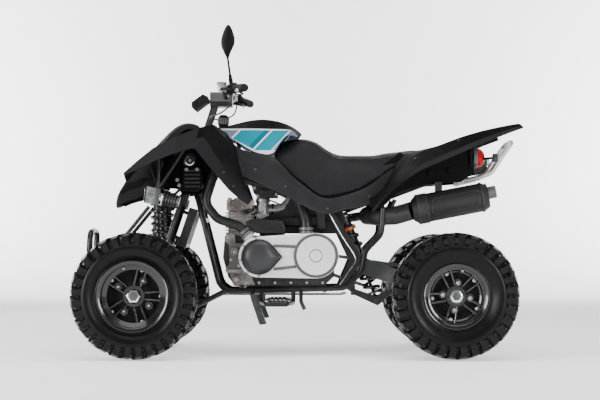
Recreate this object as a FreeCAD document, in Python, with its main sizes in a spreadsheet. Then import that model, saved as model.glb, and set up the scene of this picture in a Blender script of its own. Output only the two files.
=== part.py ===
import FreeCAD, Part
import math
import os
import Sketcher
from types import SimpleNamespace
from FreeCAD import Placement, Rotation, Vector

# Sport quad bike in millimetres: +Z up, the front towards -X, the rider's right towards +Y.
# The ground is at Z = 0 and X = 0 lies midway between the front and rear ends.

os.makedirs("parts", exist_ok=True)
DOC = FreeCAD.newDocument("QuadBike")

SIZES = {
    # Chassis
    "front_axle_x": -648,
    "wheelbase": 1270,
    "front_track": 880,
    "rear_track": 826,
    # Tyres and rims
    "tyre_sectors": 30,
    "front_tyre_radius": 250,
    "front_tyre_width": 178,
    "front_bead_radius": 130,
    "front_bead_width": 132,
    "rear_tyre_radius": 250,
    "rear_tyre_width": 254,
    "rear_bead_radius": 118,
    "rear_bead_width": 190,
    "lug_height": 12,
    "rim_wall": 5.5,
    "rim_flange": 11,
    "rim_lip": 5.5,
    "bead_play": 0.5,
    "front_disc_offset": 8,
    "rear_disc_offset": 58,
    "rim_disc": 10,
    "rim_windows": 5,
    "front_window_angle": 72,
    "rear_window_angle": 103,
    "front_stud_angle": 32,
    "rear_stud_angle": 7,
    "front_lug_circle": 72,
    "rear_lug_circle": 54,
    "stud_radius": 6,
    "stud_play": 0.4,
    "nut_radius": 10,
    "nut_height": 12,
    "lug_count": 4,
    # Front suspension and steering
    "kingpin_inset": 50,
    "caster_angle": 8,
    "ball_joint_height": 80,
    "kingpin_radius": 9,
    "pin_play": 0.05,
    "arm_tube_radius": 11,
    "arm_eye_radius": 18,
    "arm_eye_height": 24,
    "arm_pivot_y": 95,
    "arm_lower_spread": 100,
    "arm_upper_spread": 60,
    "arm_lower_pivot_z": 195,
    "arm_upper_pivot_z": 368,
    "pivot_rod_radius": 8,
    "pivot_bush_radius": 14,
    "pivot_bush_length": 36,
    "spindle_radius": 14,
    "spindle_end": 14,
    "hub_sleeve_radius": 28,
    "hub_flange": 8,
    "hub_inner": -30,
    "rear_hub_radius": 26,
    "shock_eye_radius": 13,
    "shock_eye_half": 12,
    "steering_arm": 60,
    "steering_arm_z": 22,
    "arm_plate": 12,
    "tie_rod_radius": 8,
    "tie_eye_radius": 13,
    "tie_eye_height": 16,
    "tie_pin_radius": 6,
    "open_pivot_play": 3.2,
    "open_pivot_gap": 3,
    "brake_disc_radius": 60,
    "brake_disc": 4,
    "running_gap": 5,
    # Steering stem and bar
    "stem_foot_x": -600,
    "stem_foot_z": 290,
    "stem_head_x": -350,
    "stem_head_z": 1040,
    "stem_radius": 16,
    "pitman_offset": 16,
    "steering_limit": 32,
    "bearing_block": 24,
    "lower_bearing_up": 99,
    "upper_bearing_up": 505,
    "bar_radius": 11,
    "bar_half_width": 395,
    "bar_bend": 45,
    "bar_clamp_reach": 70,
    "grip_radius": 17,
    "grip_length": 125,
    # Frame
    "frame_half_width": 150,
    "frame_tube_radius": 12.5,
    "frame_bend": 60,
    "rail_front_z": 262,
    "rail_rear_z": 276,
    "top_tube_half_width": 78,
    "top_tube_radius": 13,
    "bulkhead": 6,
    "bulkhead_reach": 130,
    # Engine
    "crankcase_half_width": 118,
    "crankcase_bottom": 282,
    "crankcase_top": 492,
    "seam": 0.3,
    "head_height": 42,
    "cylinder_length": 120,
    "cylinder_width": 126,
    "cylinder_centre_x": -245,
    "cylinder_top": 642,
    "fin": 5,
    "fin_pitch": 12,
    "fin_count": 8,
    "belt_cover_face": 240,
    "belt_cover_depth": 70,
    "variator_x": -159,
    "variator_z": 404,
    "variator_radius": 71,
    "variator_depth": 40,
    "clutch_x": 73,
    "clutch_z": 409,
    "clutch_radius": 91,
    "clutch_disc_radius": 79,
    # Radiator, exhaust, axle
    "radiator_width": 260,
    "radiator_height": 160,
    "radiator_depth": 34,
    "radiator_x": -458,
    "radiator_z": 525,
    "headlamp_y": 290,
    "silencer_radius": 59,
    "silencer_y": 185,
    "axle_radius": 17.5,
    "carrier_radius": 48,
    "carrier_half_width": 72,
    "rear_disc_radius": 88,
    "rear_disc_y": 120,
    "sprocket_radius": 74,
    "chain_height": 14,
    "chain_width": 12,
    "chain_y": 128,
    "drive_sprocket_x": 118,
    "drive_sprocket_z": 375,
    "drive_sprocket_radius": 28,
    # Bodywork
    "crumb": 50,
    "panel_wall": 4,
    "seat_wall": 26,
    "cable_radius": 3.5,
    "tray_half_width": 54,
}

SHEET = DOC.addObject("Spreadsheet::Sheet", "Sizes")
for row, (alias, value) in enumerate(SIZES.items(), start=1):
    SHEET.set(f"A{row}", alias)
    SHEET.set(f"B{row}", str(value))
    SHEET.setAlias(f"B{row}", alias)
DOC.recompute()
D = SimpleNamespace(**{alias: float(SHEET.get(alias)) for alias in SIZES})

LEFT, RIGHT = -1, 1
LONGEST_ARC_SHARE = 0.45
LARGEST_BEND = 10000
X_AXIS, Y_AXIS, Z_AXIS = Vector(1, 0, 0), Vector(0, 1, 0), Vector(0, 0, 1)
REAR_AXLE_X = D.front_axle_x + D.wheelbase
FRONT_Y = D.front_track / 2
REAR_Y = D.rear_track / 2
KINGPIN_Y = FRONT_Y - D.kingpin_inset
SHOCK_TOP = (76, 215, 655)
SHOCK_FOOT = (88, 240)
BAR_CENTRE = Vector(-300, 0, 1072)

PIECES = {}


def front(x, y, z):
    """A point measured backwards from the front axle."""
    return Vector(D.front_axle_x + x, y, z)


def rear(x, y, z):
    """A point measured backwards from the rear axle."""
    return Vector(REAR_AXLE_X + x, y, z)


def add(label, shape, clear_of=(), place=None):
    """Keep a shape as a sub-part, trimmed where it meets the sub-parts named."""
    for other in clear_of:
        shape = shape.cut(PIECES[other].Shape)
    if clear_of:
        kept = [solid for solid in shape.Solids if solid.Volume > D.crumb]
        shape = kept[0] if len(kept) == 1 else Part.makeCompound(kept)
    piece = DOC.addObject("Part::Feature", label)
    piece.Label = label
    piece.Shape = shape
    if place:
        piece.Placement = place
    PIECES[label] = piece
    return piece


def fused(shapes):
    """Several overlapping solids as one."""
    return shapes[0].multiFuse(shapes[1:]).removeSplitter() if len(shapes) > 1 else shapes[0]


def stay(start, end, radius, carried):
    """A stay from its root up to the face of the panel that it carries."""
    lengths = rod(start, end, radius).cut(PIECES[carried].Shape).Solids
    return min(lengths, key=lambda solid: (solid.CenterOfMass - start).Length)


def mirrored(shape):
    """The same shape on the other side of the machine."""
    return shape.mirror(Vector(0, 0, 0), Y_AXIS)


def pair(shape):
    """A left and a right solid that don't touch."""
    return Part.makeCompound([shape, mirrored(shape)])


def rod(start, end, radius, end_radius=None):
    """A round bar, or a cone, between two points."""
    along = end - start
    if end_radius is None or abs(end_radius - radius) < 1e-6:
        return Part.makeCylinder(radius, along.Length, start, along)
    return Part.makeCone(radius, end_radius, along.Length, start, along)


def sleeve(centre, along, outer, inner, length):
    """A ring centred on a point, with its axis along a direction."""
    start = centre - along * (length / 2)
    return Part.makeCylinder(outer, length, start, along).cut(
        Part.makeCylinder(inner, length, start, along))


def block(low, high):
    """A box between two corners."""
    span = high - low
    return Part.makeBox(span.x, span.y, span.z, low)


def tube(points, radius, bend):
    """A round tube along straight runs joined by tangent arcs."""
    edges = []
    here = points[0]
    for before, corner, after in zip(points, points[1:], points[2:]):
        arriving = (corner - before).normalize()
        leaving = (after - corner).normalize()
        turn = arriving.getAngle(leaving)
        reach = bend * math.tan(turn / 2)
        reach = min(reach, LONGEST_ARC_SHARE * min((corner - before).Length, (after - corner).Length))
        arc_start = corner - arriving * reach
        arc_end = corner + leaving * reach
        toward = (arc_end + arc_start) / 2 - corner
        arc_radius = reach / math.tan(turn / 2)
        middle = corner + toward.normalize() * (arc_radius / math.cos(turn / 2) - arc_radius)
        edges.append(Part.LineSegment(here, arc_start).toShape())
        edges.append(Part.Arc(arc_start, middle, arc_end).toShape())
        here = arc_end
    edges.append(Part.LineSegment(here, points[-1]).toShape())
    start = Part.Circle(points[0], points[1] - points[0], radius).toShape()
    return Part.Wire(edges).makePipe(Part.Face(Part.Wire([start])))


def prism(outline, y_low, y_high):
    """A plate of constant side outline, given as (x, z) points, between two Y planes."""
    corners = [Vector(x, y_low, z) for x, z in outline]
    face = Part.Face(Part.makePolygon(corners + corners[:1]))
    return face.extrude(Vector(0, y_high - y_low, 0))


def turned(profile, origin, along):
    """A solid of revolution: (distance along, radius) points about an axis."""
    corners = [Vector(radius, 0, distance) for distance, radius in profile]
    face = Part.Face(Part.makePolygon(corners + corners[:1]))
    solid = face.revolve(Vector(0, 0, 0), Z_AXIS, 360)
    solid.Placement = Placement(origin, Rotation(Z_AXIS, along))
    return solid


def panel(grid, wall):
    """A moulded sheet: smooth lines along the rows, creased between the columns."""
    rows, columns = len(grid), len(grid[0])
    inner = []
    for i in range(rows):
        line = []
        for j in range(columns):
            along = grid[min(i + 1, rows - 1)][j] - grid[max(i - 1, 0)][j]
            across = grid[i][min(j + 1, columns - 1)] - grid[i][max(j - 1, 0)]
            line.append(grid[i][j] - along.cross(across).normalize() * wall)
        inner.append(line)

    def lines(points):
        edges = []
        for j in range(columns):
            curve = Part.BSplineCurve()
            curve.interpolate([points[i][j] for i in range(rows)])
            edges.append(curve.toShape())
        return edges

    outside, inside = lines(grid), lines(inner)
    faces = []
    for edges in (outside, inside):
        faces += [Part.makeRuledSurface(a, b) for a, b in zip(edges, edges[1:])]
    faces.append(Part.makeRuledSurface(outside[0], inside[0]))
    faces.append(Part.makeRuledSurface(outside[-1], inside[-1]))
    for i in (0, rows - 1):
        for j in range(columns - 1):
            upper = Part.makeLine(grid[i][j], grid[i][j + 1])
            lower = Part.makeLine(inner[i][j], inner[i][j + 1])
            faces.append(Part.makeRuledSurface(upper, lower))
    shell = Part.Shell(faces)
    shell.sewShape()
    solid = Part.Solid(shell)
    if solid.Volume < 0:
        solid.reverse()
    return solid


def loft(sections):
    """A smooth closed solid through polygon sections of equal point count."""
    wires = [Part.makePolygon(points + points[:1]) for points in sections]
    return Part.makeLoft(wires, True, False)


def origin_plane(body, role):
    """One of a body's own origin planes."""
    return next(item for item in body.Origin.OriginFeatures if item.Role == role)


def new_body(label):
    """A PartDesign body that becomes one sub-part."""
    body = DOC.addObject("PartDesign::Body", label)
    body.Label = label
    PIECES[label] = body
    return body


def new_sketch(body, name, role, outline=(), circles=(), offset=0.0):
    """A sketch on an origin plane: a closed polygon, circles, or both."""
    sketch = body.newObject("Sketcher::SketchObject", name)
    sketch.AttachmentSupport = [(origin_plane(body, role), "")]
    sketch.MapMode = "FlatFace"
    sketch.AttachmentOffset = Placement(Vector(0, 0, offset), Rotation())
    count = len(outline)
    for k in range(count):
        start, end = outline[k], outline[(k + 1) % count]
        sketch.addGeometry(Part.LineSegment(Vector(*start, 0), Vector(*end, 0)))
    for k in range(count):
        sketch.addConstraint(Sketcher.Constraint("Coincident", k, 2, (k + 1) % count, 1))
    for x, y, radius in circles:
        index = sketch.addGeometry(Part.Circle(Vector(x, y, 0), Z_AXIS, radius))
        sketch.addConstraint(Sketcher.Constraint("Radius", index, radius))
    DOC.recompute()
    return sketch


def new_pad(body, name, sketch, length, midplane=False, backwards=False):
    """A pad whose length is an expression on the sheet."""
    pad = body.newObject("PartDesign::Pad", name)
    pad.Profile = sketch
    pad.setExpression("Length", length)
    pad.Midplane = midplane
    pad.Reversed = backwards
    DOC.recompute()
    return pad


def new_revolution(body, name, sketch):
    """A full turn of a sketch about its own vertical axis."""
    feature = body.newObject("PartDesign::Revolution", name)
    feature.Profile = sketch
    feature.ReferenceAxis = (sketch, ["V_Axis"])
    feature.Angle = 360
    DOC.recompute()
    return feature


def new_through_cut(body, name, sketch):
    """A pocket through everything, both ways from its sketch."""
    before = body.Shape.Volume
    pocket = body.newObject("PartDesign::Pocket", name)
    pocket.Profile = sketch
    pocket.Type = "ThroughAll"
    pocket.Midplane = True
    DOC.recompute()
    if not body.Shape.Volume < before:
        raise RuntimeError(f"{body.Label}: {name} removes nothing")
    return pocket


def new_polar_pattern(body, name, feature, sketch, count):
    """Copies of a feature about its sketch's normal axis."""
    pattern = body.newObject("PartDesign::PolarPattern", name)
    pattern.Originals = [feature]
    pattern.Axis = (sketch, ["N_Axis"])
    pattern.Angle = 360
    pattern.setExpression("Occurrences", count)
    body.Tip = pattern
    DOC.recompute()
    return pattern


def on_circle(radius, degrees):
    """A point of a circle about the sketch's centre."""
    angle = math.radians(degrees)
    return (radius * math.cos(angle), radius * math.sin(angle))


# Wheels


def tyre_shape(radius, width, bead_radius, bead_width, rows):
    """A knobbly tyre of flat-sided sectors about the Y axis, lowest on one flat facet."""
    sectors = int(D.tyre_sectors)
    half_step = math.pi / sectors
    stretch = 1 / math.cos(half_step)
    half = width / 2
    base = radius - D.lug_height
    shoulder = base - D.lug_height
    bead = bead_width / 2
    flank = (radius + bead_radius) / 2
    lug_edge = half - 0.6 * D.lug_height
    low_edge = half - 1.4 * D.lug_height
    sidewall = [(bead, bead_radius), ((bead + half) / 2 + 3, bead_radius + 20), (half, flank)]
    raised_edge = [(half, shoulder), (lug_edge, radius)]
    sunk_edge = [(half - 0.5 * D.lug_height, shoulder), (low_edge, base)]
    block_width = 2 * lug_edge / rows
    gap = 0.24 * block_width

    def tread(raised):
        """Points across the crown, from the right edge to the left."""
        points = list(raised_edge if raised else sunk_edge)
        for k in range(rows):
            right = lug_edge - k * block_width
            left = right - block_width
            high = (k % 2 == 0) == raised
            if not high:
                continue
            inner_right = right if k == 0 else right - gap / 2
            inner_left = left if k == rows - 1 else left + gap / 2
            if k > 0:
                points += [(inner_right, base), (inner_right, radius)]
            if k < rows - 1:
                points += [(inner_left, radius), (inner_left, base)]
        return points

    def sector(raised):
        crown = tread(raised)
        last_high = ((rows - 1) % 2 == 0) == raised
        closing = raised_edge if last_high else sunk_edge
        crown += [(-y, r) for y, r in reversed(closing)]
        outline = sidewall + crown + [(-y, r) for y, r in reversed(sidewall)]
        ends = []
        for angle in (-half_step, half_step):
            ends.append([Vector(r * stretch * math.sin(angle), y, -r * stretch * math.cos(angle))
                         for y, r in outline])
        faces = [Part.Face(Part.makePolygon(end + end[:1])) for end in ends]
        count = len(outline)
        for k in range(count):
            a, b = ends[0][k], ends[0][(k + 1) % count]
            c, d = ends[1][(k + 1) % count], ends[1][k]
            faces.append(Part.Face(Part.makePolygon([a, b, c, d, a])))
        return Part.Solid(Part.Shell(faces))

    kinds = [sector(False), sector(True)]
    solids = []
    for k in range(sectors):
        piece = kinds[k % 2].copy()
        piece.rotate(Vector(0, 0, 0), Y_AXIS, 360 * k / sectors)
        solids.append(piece)
    whole = solids[0].multiFuse(solids[1:])
    return whole.Solids[0] if whole.Solids else whole


def rim_body(label, bead_radius, bead_width, disc_offset, bore, lug_circle, angles, place):
    """A one-piece wheel: barrel with two flanges, a centre disc, windows and stud holes."""
    body = new_body(label)
    barrel = bead_radius - D.bead_play
    inside = barrel - D.rim_wall
    lip = barrel + D.rim_flange
    seat_edge = bead_width / 2 + D.bead_play
    slope = D.rim_flange * 0.9
    outer = seat_edge + slope + D.rim_lip
    disc_face = disc_offset + D.rim_disc
    profile = [
        (barrel, -seat_edge), (lip, -seat_edge - slope), (lip, -outer), (inside, -outer),
        (inside, disc_offset - D.rim_disc), (inside - 2 * D.rim_wall, disc_offset),
        (bore, disc_offset), (bore, disc_face), (inside - 3 * D.rim_wall, disc_face),
        (inside, disc_face + 2 * D.rim_disc), (inside, outer), (lip, outer),
        (lip, seat_edge + slope), (barrel, seat_edge),
    ]
    section = new_sketch(body, label + "_section", "XY_Plane", profile)
    new_revolution(body, label + "_ring", section)
    window_angle, stud_angle = angles
    window_in = lug_circle + 1.6 * D.nut_radius
    window_out = inside - 3.2 * D.rim_wall
    half_angle = 360 / D.rim_windows * 0.3
    outline = [on_circle(window_in, window_angle - half_angle),
               on_circle(window_in, window_angle + half_angle),
               on_circle(window_out, window_angle + half_angle * 1.05),
               on_circle(window_out * 1.02, window_angle),
               on_circle(window_out, window_angle - half_angle * 1.05)]
    window = new_sketch(body, label + "_window", "XZ_Plane", outline)
    cut = new_through_cut(body, label + "_window_cut", window)
    new_polar_pattern(body, label + "_windows", cut, window, "Sizes.rim_windows")
    hole_radius = D.stud_radius + D.stud_play
    stud_hole = new_sketch(body, label + "_stud_hole", "XZ_Plane",
                           circles=[(*on_circle(lug_circle, stud_angle), hole_radius)])
    hole = new_through_cut(body, label + "_stud_hole_cut", stud_hole)
    new_polar_pattern(body, label + "_stud_holes", hole, stud_hole, "Sizes.lug_count")
    body.Placement = place
    return body


def studs(lug_circle, stud_angle, disc_offset):
    """Wheel studs with their nuts, about the Y axis, pointing outboard."""
    solids = []
    for k in range(int(D.lug_count)):
        x, z = on_circle(lug_circle, stud_angle + 360 * k / D.lug_count)
        root = Vector(x, disc_offset - D.rim_disc, z)
        face = Vector(x, disc_offset + D.rim_disc, z)
        solids.append(rod(root, face + Y_AXIS * D.nut_height, D.stud_radius))
        nut = Part.makePolygon([face + Vector(D.nut_radius * math.cos(math.radians(60 * n)), 0,
                                              D.nut_radius * math.sin(math.radians(60 * n)))
                                for n in range(7)])
        solids.append(Part.Face(nut).extrude(Y_AXIS * D.nut_height))
    return solids


def front_hub_shape():
    """The turning front hub: flange, sleeve, brake disc, studs, nuts and cap."""
    flange_low = D.front_disc_offset - D.hub_flange
    cap_end = D.front_disc_offset + 3 * D.rim_disc
    solids = [
        turned([(D.hub_inner, 0), (D.hub_inner, D.hub_sleeve_radius), (cap_end - 6, D.hub_sleeve_radius),
                (cap_end, D.hub_sleeve_radius - 6), (cap_end, 0)], Vector(0, 0, 0), Y_AXIS),
        Part.makeCylinder(D.front_lug_circle + D.nut_radius, D.hub_flange,
                          Vector(0, flange_low, 0), Y_AXIS),
        Part.makeCylinder(D.brake_disc_radius, D.brake_disc, Vector(0, D.hub_inner, 0), Y_AXIS),
    ] + studs(D.front_lug_circle, D.front_stud_angle, D.front_disc_offset)
    bore = Part.makeCylinder(D.spindle_radius + D.pin_play, D.spindle_end - D.hub_inner + 1,
                             Vector(0, D.hub_inner, 0), Y_AXIS)
    return fused(solids).cut(bore)


def build_front_wheels():
    tyre = tyre_shape(D.front_tyre_radius, D.front_tyre_width, D.front_bead_radius,
                      D.front_bead_width, 3)
    hub = front_hub_shape()
    for side, word in ((LEFT, "left"), (RIGHT, "right")):
        turn = Rotation(Z_AXIS, 180 if side == LEFT else 0)
        place = Placement(Vector(D.front_axle_x, side * FRONT_Y, D.front_tyre_radius), turn)
        add(f"front_tyre_{word}", tyre, place=place)
        rim_body(f"front_rim_{word}", D.front_bead_radius, D.front_bead_width,
                 D.front_disc_offset, D.hub_sleeve_radius + D.stud_play, D.front_lug_circle,
                 (D.front_window_angle, D.front_stud_angle), place)
        add(f"front_hub_{word}", hub, place=place)


def build_rear_axle():
    tyre = tyre_shape(D.rear_tyre_radius, D.rear_tyre_width, D.rear_bead_radius,
                      D.rear_bead_width, 4)
    bore = D.rear_hub_radius + D.stud_play
    for side, word in ((LEFT, "left"), (RIGHT, "right")):
        turn = Rotation(Z_AXIS, 180 if side == LEFT else 0)
        place = Placement(Vector(REAR_AXLE_X, side * REAR_Y, D.rear_tyre_radius), turn)
        add(f"rear_tyre_{word}", tyre, place=place)
        rim_body(f"rear_rim_{word}", D.rear_bead_radius, D.rear_bead_width,
                 D.rear_disc_offset, bore, D.rear_lug_circle,
                 (D.rear_window_angle, D.rear_stud_angle), place)
    centre = Vector(REAR_AXLE_X, 0, D.rear_tyre_radius)
    end = REAR_Y + D.rear_disc_offset + 2 * D.rim_disc
    solids = [Part.makeCylinder(D.axle_radius, 2 * end, centre - Y_AXIS * end, Y_AXIS)]
    hub_in = REAR_Y + D.rear_disc_offset - 70
    flange_in = REAR_Y + D.rear_disc_offset - D.hub_flange
    for side in (LEFT, RIGHT):
        out = Y_AXIS * side
        solids.append(rod(centre + out * hub_in, centre + out * (end + 8), D.rear_hub_radius))
        solids.append(rod(centre + out * flange_in, centre + out * (flange_in + D.hub_flange),
                          D.rear_lug_circle + D.nut_radius))
        for solid in studs(D.rear_lug_circle, D.rear_stud_angle, D.rear_disc_offset):
            if side == LEFT:
                solid.rotate(Vector(0, 0, 0), Z_AXIS, 180)
            solid.translate(centre + out * REAR_Y)
            solids.append(solid)
    disc_y = -D.rear_disc_y
    solids.append(rod(centre + Y_AXIS * (disc_y - 12), centre + Y_AXIS * (disc_y + 12), 34))
    solids.append(rod(centre + Y_AXIS * (disc_y - D.brake_disc / 2),
                      centre + Y_AXIS * (disc_y + D.brake_disc / 2), D.rear_disc_radius))
    chain_y = D.chain_y
    solids.append(rod(centre + Y_AXIS * (chain_y - 12), centre + Y_AXIS * (chain_y + 12), 34))
    solids.append(rod(centre + Y_AXIS * (chain_y - 3), centre + Y_AXIS * (chain_y + 3),
                      D.sprocket_radius))
    add("rear_axle", fused(solids))


# Front suspension and steering


def kingpin_axis():
    """Upward direction of the kingpins, leaning back by the caster angle."""
    lean = math.radians(D.caster_angle)
    return Vector(math.sin(lean), 0, math.cos(lean))


def kingpin_point(side, height):
    """A point of the kingpin axis at a height above the axle."""
    axis = kingpin_axis()
    centre = Vector(D.front_axle_x, side * KINGPIN_Y, D.front_tyre_radius)
    return centre + axis * (height / axis.z)


def stem_axis():
    """Upward direction of the steering stem."""
    return Vector(D.stem_head_x - D.stem_foot_x, 0, D.stem_head_z - D.stem_foot_z).normalize()


def stem_point(up):
    """A point of the stem axis, measured up along it from its foot."""
    return Vector(D.stem_foot_x, 0, D.stem_foot_z) + stem_axis() * up


def forward_of(axis):
    """The level-most forward direction square to an axis in the middle plane."""
    return axis.cross(Y_AXIS)


def knuckle_shape(side):
    """Upright with kingpin ends, spindle, forward steering arm, stud and brake caliper."""
    axis = kingpin_axis()
    ahead = forward_of(axis)
    out = Y_AXIS * side
    reach = D.ball_joint_height + D.arm_eye_height / 2 + 4
    post_half = D.ball_joint_height - D.arm_eye_height / 2 - 8
    centre = kingpin_point(side, 0)
    spindle_start = centre + out * 8
    spindle_end = centre + out * (D.kingpin_inset + D.spindle_end)
    stud_centre = kingpin_point(side, D.steering_arm_z) + ahead * D.steering_arm
    arm_top = axis * (D.arm_plate / 2)
    eye_top = D.open_pivot_gap + D.tie_eye_height
    solids = [
        rod(kingpin_point(side, -reach), kingpin_point(side, reach), D.kingpin_radius),
        rod(kingpin_point(side, -post_half), kingpin_point(side, post_half), 14),
        rod(spindle_start, spindle_end, D.spindle_radius),
        rod(stud_centre - arm_top, stud_centre + arm_top, D.tie_eye_radius),
        rod(stud_centre, stud_centre + axis * (D.arm_plate / 2 + eye_top), D.tie_pin_radius),
    ]
    arm = Part.makeBox(D.steering_arm, 18, D.arm_plate, Vector(0, -9, -D.arm_plate / 2))
    arm.Placement = Placement(kingpin_point(side, D.steering_arm_z), Rotation(Vector(-1, 0, 0), ahead)
                              .multiply(Rotation(Z_AXIS, 180)))
    solids.append(arm)
    caliper_in = KINGPIN_Y - 14
    disc_mid = FRONT_Y + D.hub_inner + D.brake_disc / 2
    slot = D.brake_disc / 2 + D.running_gap
    caliper_out = disc_mid + slot + 8
    low, high = sorted((side * caliper_in, side * caliper_out))
    wheel_z = D.front_tyre_radius
    inner_x = D.front_axle_x + D.brake_disc_radius * 0.7
    outer_x = D.front_axle_x + D.brake_disc_radius + 26
    caliper = block(Vector(inner_x, low, wheel_z - 24), Vector(outer_x, high, wheel_z + 24))
    groove = sleeve(Vector(D.front_axle_x, side * disc_mid, wheel_z), Y_AXIS,
                    D.brake_disc_radius + D.running_gap, 1, 2 * slot)
    bracket_low, bracket_high = sorted((side * caliper_in, side * (KINGPIN_Y + 6)))
    bracket = block(Vector(D.front_axle_x + 4, bracket_low, wheel_z - 12),
                    Vector(inner_x + 2, bracket_high, wheel_z + 12))
    solids.append(bracket)
    solids.append(caliper.cut(groove))
    return fused(solids)


def suspension_arm(side, height, pivot_z, spread):
    """One A-arm: eye at the kingpin, two legs and two inner bushes."""
    eye = kingpin_point(side, height)
    solids = [Part.makeCylinder(D.arm_eye_radius, D.arm_eye_height,
                                eye - kingpin_axis() * (D.arm_eye_height / 2), kingpin_axis())]
    bushes = []
    for way in (-1, 1):
        bush = front(way * spread, side * D.arm_pivot_y, pivot_z)
        start = bush - X_AXIS * (D.pivot_bush_length / 2)
        solids.append(Part.makeCylinder(D.pivot_bush_radius, D.pivot_bush_length, start, X_AXIS))
        bushes.append(Part.makeCylinder(D.pivot_rod_radius + D.pin_play, D.pivot_bush_length,
                                        start, X_AXIS))
        solids.append(rod(eye, bush, D.arm_tube_radius))
    arm = fused(solids)
    hole = Part.makeCylinder(D.kingpin_radius + D.pin_play, D.arm_eye_height * 2,
                             eye - kingpin_axis() * D.arm_eye_height, kingpin_axis())
    for bush in bushes + [hole]:
        arm = arm.cut(bush)
    return arm


def shock_leg_point(side):
    """Where the lower arm's rear leg carries the shock's foot bracket."""
    share = (SHOCK_FOOT[1] - D.arm_pivot_y) / (KINGPIN_Y - D.arm_pivot_y)
    eye = kingpin_point(side, -D.ball_joint_height)
    bush = front(D.arm_lower_spread, side * D.arm_pivot_y, D.arm_lower_pivot_z)
    return bush + (eye - bush) * share


def shock_points(side):
    """Ends of a front shock: on the frame and behind the lower arm."""
    top = front(SHOCK_TOP[0], side * SHOCK_TOP[1], SHOCK_TOP[2])
    leg = shock_leg_point(side)
    foot = front(SHOCK_FOOT[0], side * SHOCK_FOOT[1], leg.z + D.arm_tube_radius)
    return top, foot


def spring(start, along, coil_radius, wire_radius, turns, length):
    """A coil spring about an axis."""
    helix = Part.makeHelix(length / turns, length, coil_radius)
    wire = Part.Wire(helix.Edges)
    section = Part.Wire([Part.Circle(Vector(coil_radius, 0, 0), Y_AXIS, wire_radius).toShape()])
    coil = wire.makePipeShell([section], True, True)
    coil.Placement = Placement(start, Rotation(Z_AXIS, along))
    return coil


def damper_shape(top, foot, body_radius, spring_radius, wire_radius, turns):
    """A shock absorber: eyes, rod, body, two spring seats and the spring round them."""
    along = (top - foot).normalize()
    length = (top - foot).Length
    solids = [
        rod(foot, top, 7),
        rod(foot + along * (length * 0.45), top - along * 14, body_radius),
        Part.makeCylinder(D.shock_eye_radius, 2 * D.shock_eye_half, foot - X_AXIS * D.shock_eye_half,
                          X_AXIS),
        Part.makeCylinder(D.shock_eye_radius, 2 * D.shock_eye_half, top - X_AXIS * D.shock_eye_half,
                          X_AXIS),
        rod(foot + along * 22, foot + along * 30, spring_radius + wire_radius),
        rod(top - along * 40, top - along * 32, spring_radius + wire_radius),
    ]
    coil_start = foot + along * (30.3 + wire_radius)
    coil_length = length - 40.6 - 30 - wire_radius * 2
    coil = spring(coil_start, along, spring_radius, wire_radius, turns, coil_length)
    return fused(solids), coil


def tie_rod_ends(side):
    """Pivot of a tie rod on the pitman arm, and its free eye over the knuckle's arm."""
    up = stem_axis()
    ahead = forward_of(up)
    inner = stem_point(0) + ahead * D.steering_arm + Y_AXIS * side * D.pitman_offset
    inner = inner + up * (D.arm_plate / 2 + D.open_pivot_gap + D.tie_eye_height / 2)
    axis = kingpin_axis()
    outer = kingpin_point(side, D.steering_arm_z) + forward_of(axis) * D.steering_arm
    outer = outer + axis * (D.arm_plate / 2 + D.open_pivot_gap + D.tie_eye_height / 2)
    drawn_in = D.pitman_offset * (1 - math.cos(math.radians(D.steering_limit)))
    return inner, outer + Y_AXIS * side * drawn_in / 2


def tie_rod_shape(side):
    inner, outer = tie_rod_ends(side)
    up, axis = stem_axis(), kingpin_axis()
    solids = [
        rod(inner, outer, D.tie_rod_radius),
        sleeve(inner, up, D.tie_eye_radius, D.tie_pin_radius, D.tie_eye_height),
        sleeve(outer, axis, D.tie_eye_radius + 2, D.tie_pin_radius, D.tie_eye_height),
    ]
    shape = fused(solids)
    shape = shape.cut(sleeve_bore(inner, up, D.tie_pin_radius + D.pin_play))
    return shape.cut(sleeve_bore(outer, axis, D.tie_pin_radius + D.open_pivot_play))


def sleeve_bore(centre, along, radius):
    """The hole through a tie rod's eye."""
    length = 2 * D.tie_eye_height
    return Part.makeCylinder(radius, length, centre - along * (length / 2), along)


def build_front_suspension():
    arms = []
    for side in (LEFT, RIGHT):
        lower = suspension_arm(side, -D.ball_joint_height, D.arm_lower_pivot_z,
                               D.arm_lower_spread)
        _top, foot = shock_points(side)
        leg = shock_leg_point(side)
        leg.z = foot.z
        bracket_end = Vector(foot.x - D.shock_eye_half - 0.3, foot.y, foot.z)
        pin_end = Vector(foot.x + D.shock_eye_half + 6, foot.y, foot.z)
        arms.append(fused([lower, rod(leg, bracket_end, 12), rod(leg, pin_end, 6)]))
        arms.append(suspension_arm(side, D.ball_joint_height, D.arm_upper_pivot_z,
                                   D.arm_upper_spread))
    add("suspension_arms", Part.makeCompound(arms))
    for side, word in ((LEFT, "left"), (RIGHT, "right")):
        add(f"knuckle_{word}", knuckle_shape(side))
        add(f"tie_rod_{word}", tie_rod_shape(side))
    top, foot = shock_points(LEFT)
    damper, coil = damper_shape(top, foot, 20, 27, 5, 7)
    add("front_shocks", pair(damper), clear_of=["suspension_arms"])
    add("front_springs", pair(coil))


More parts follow.
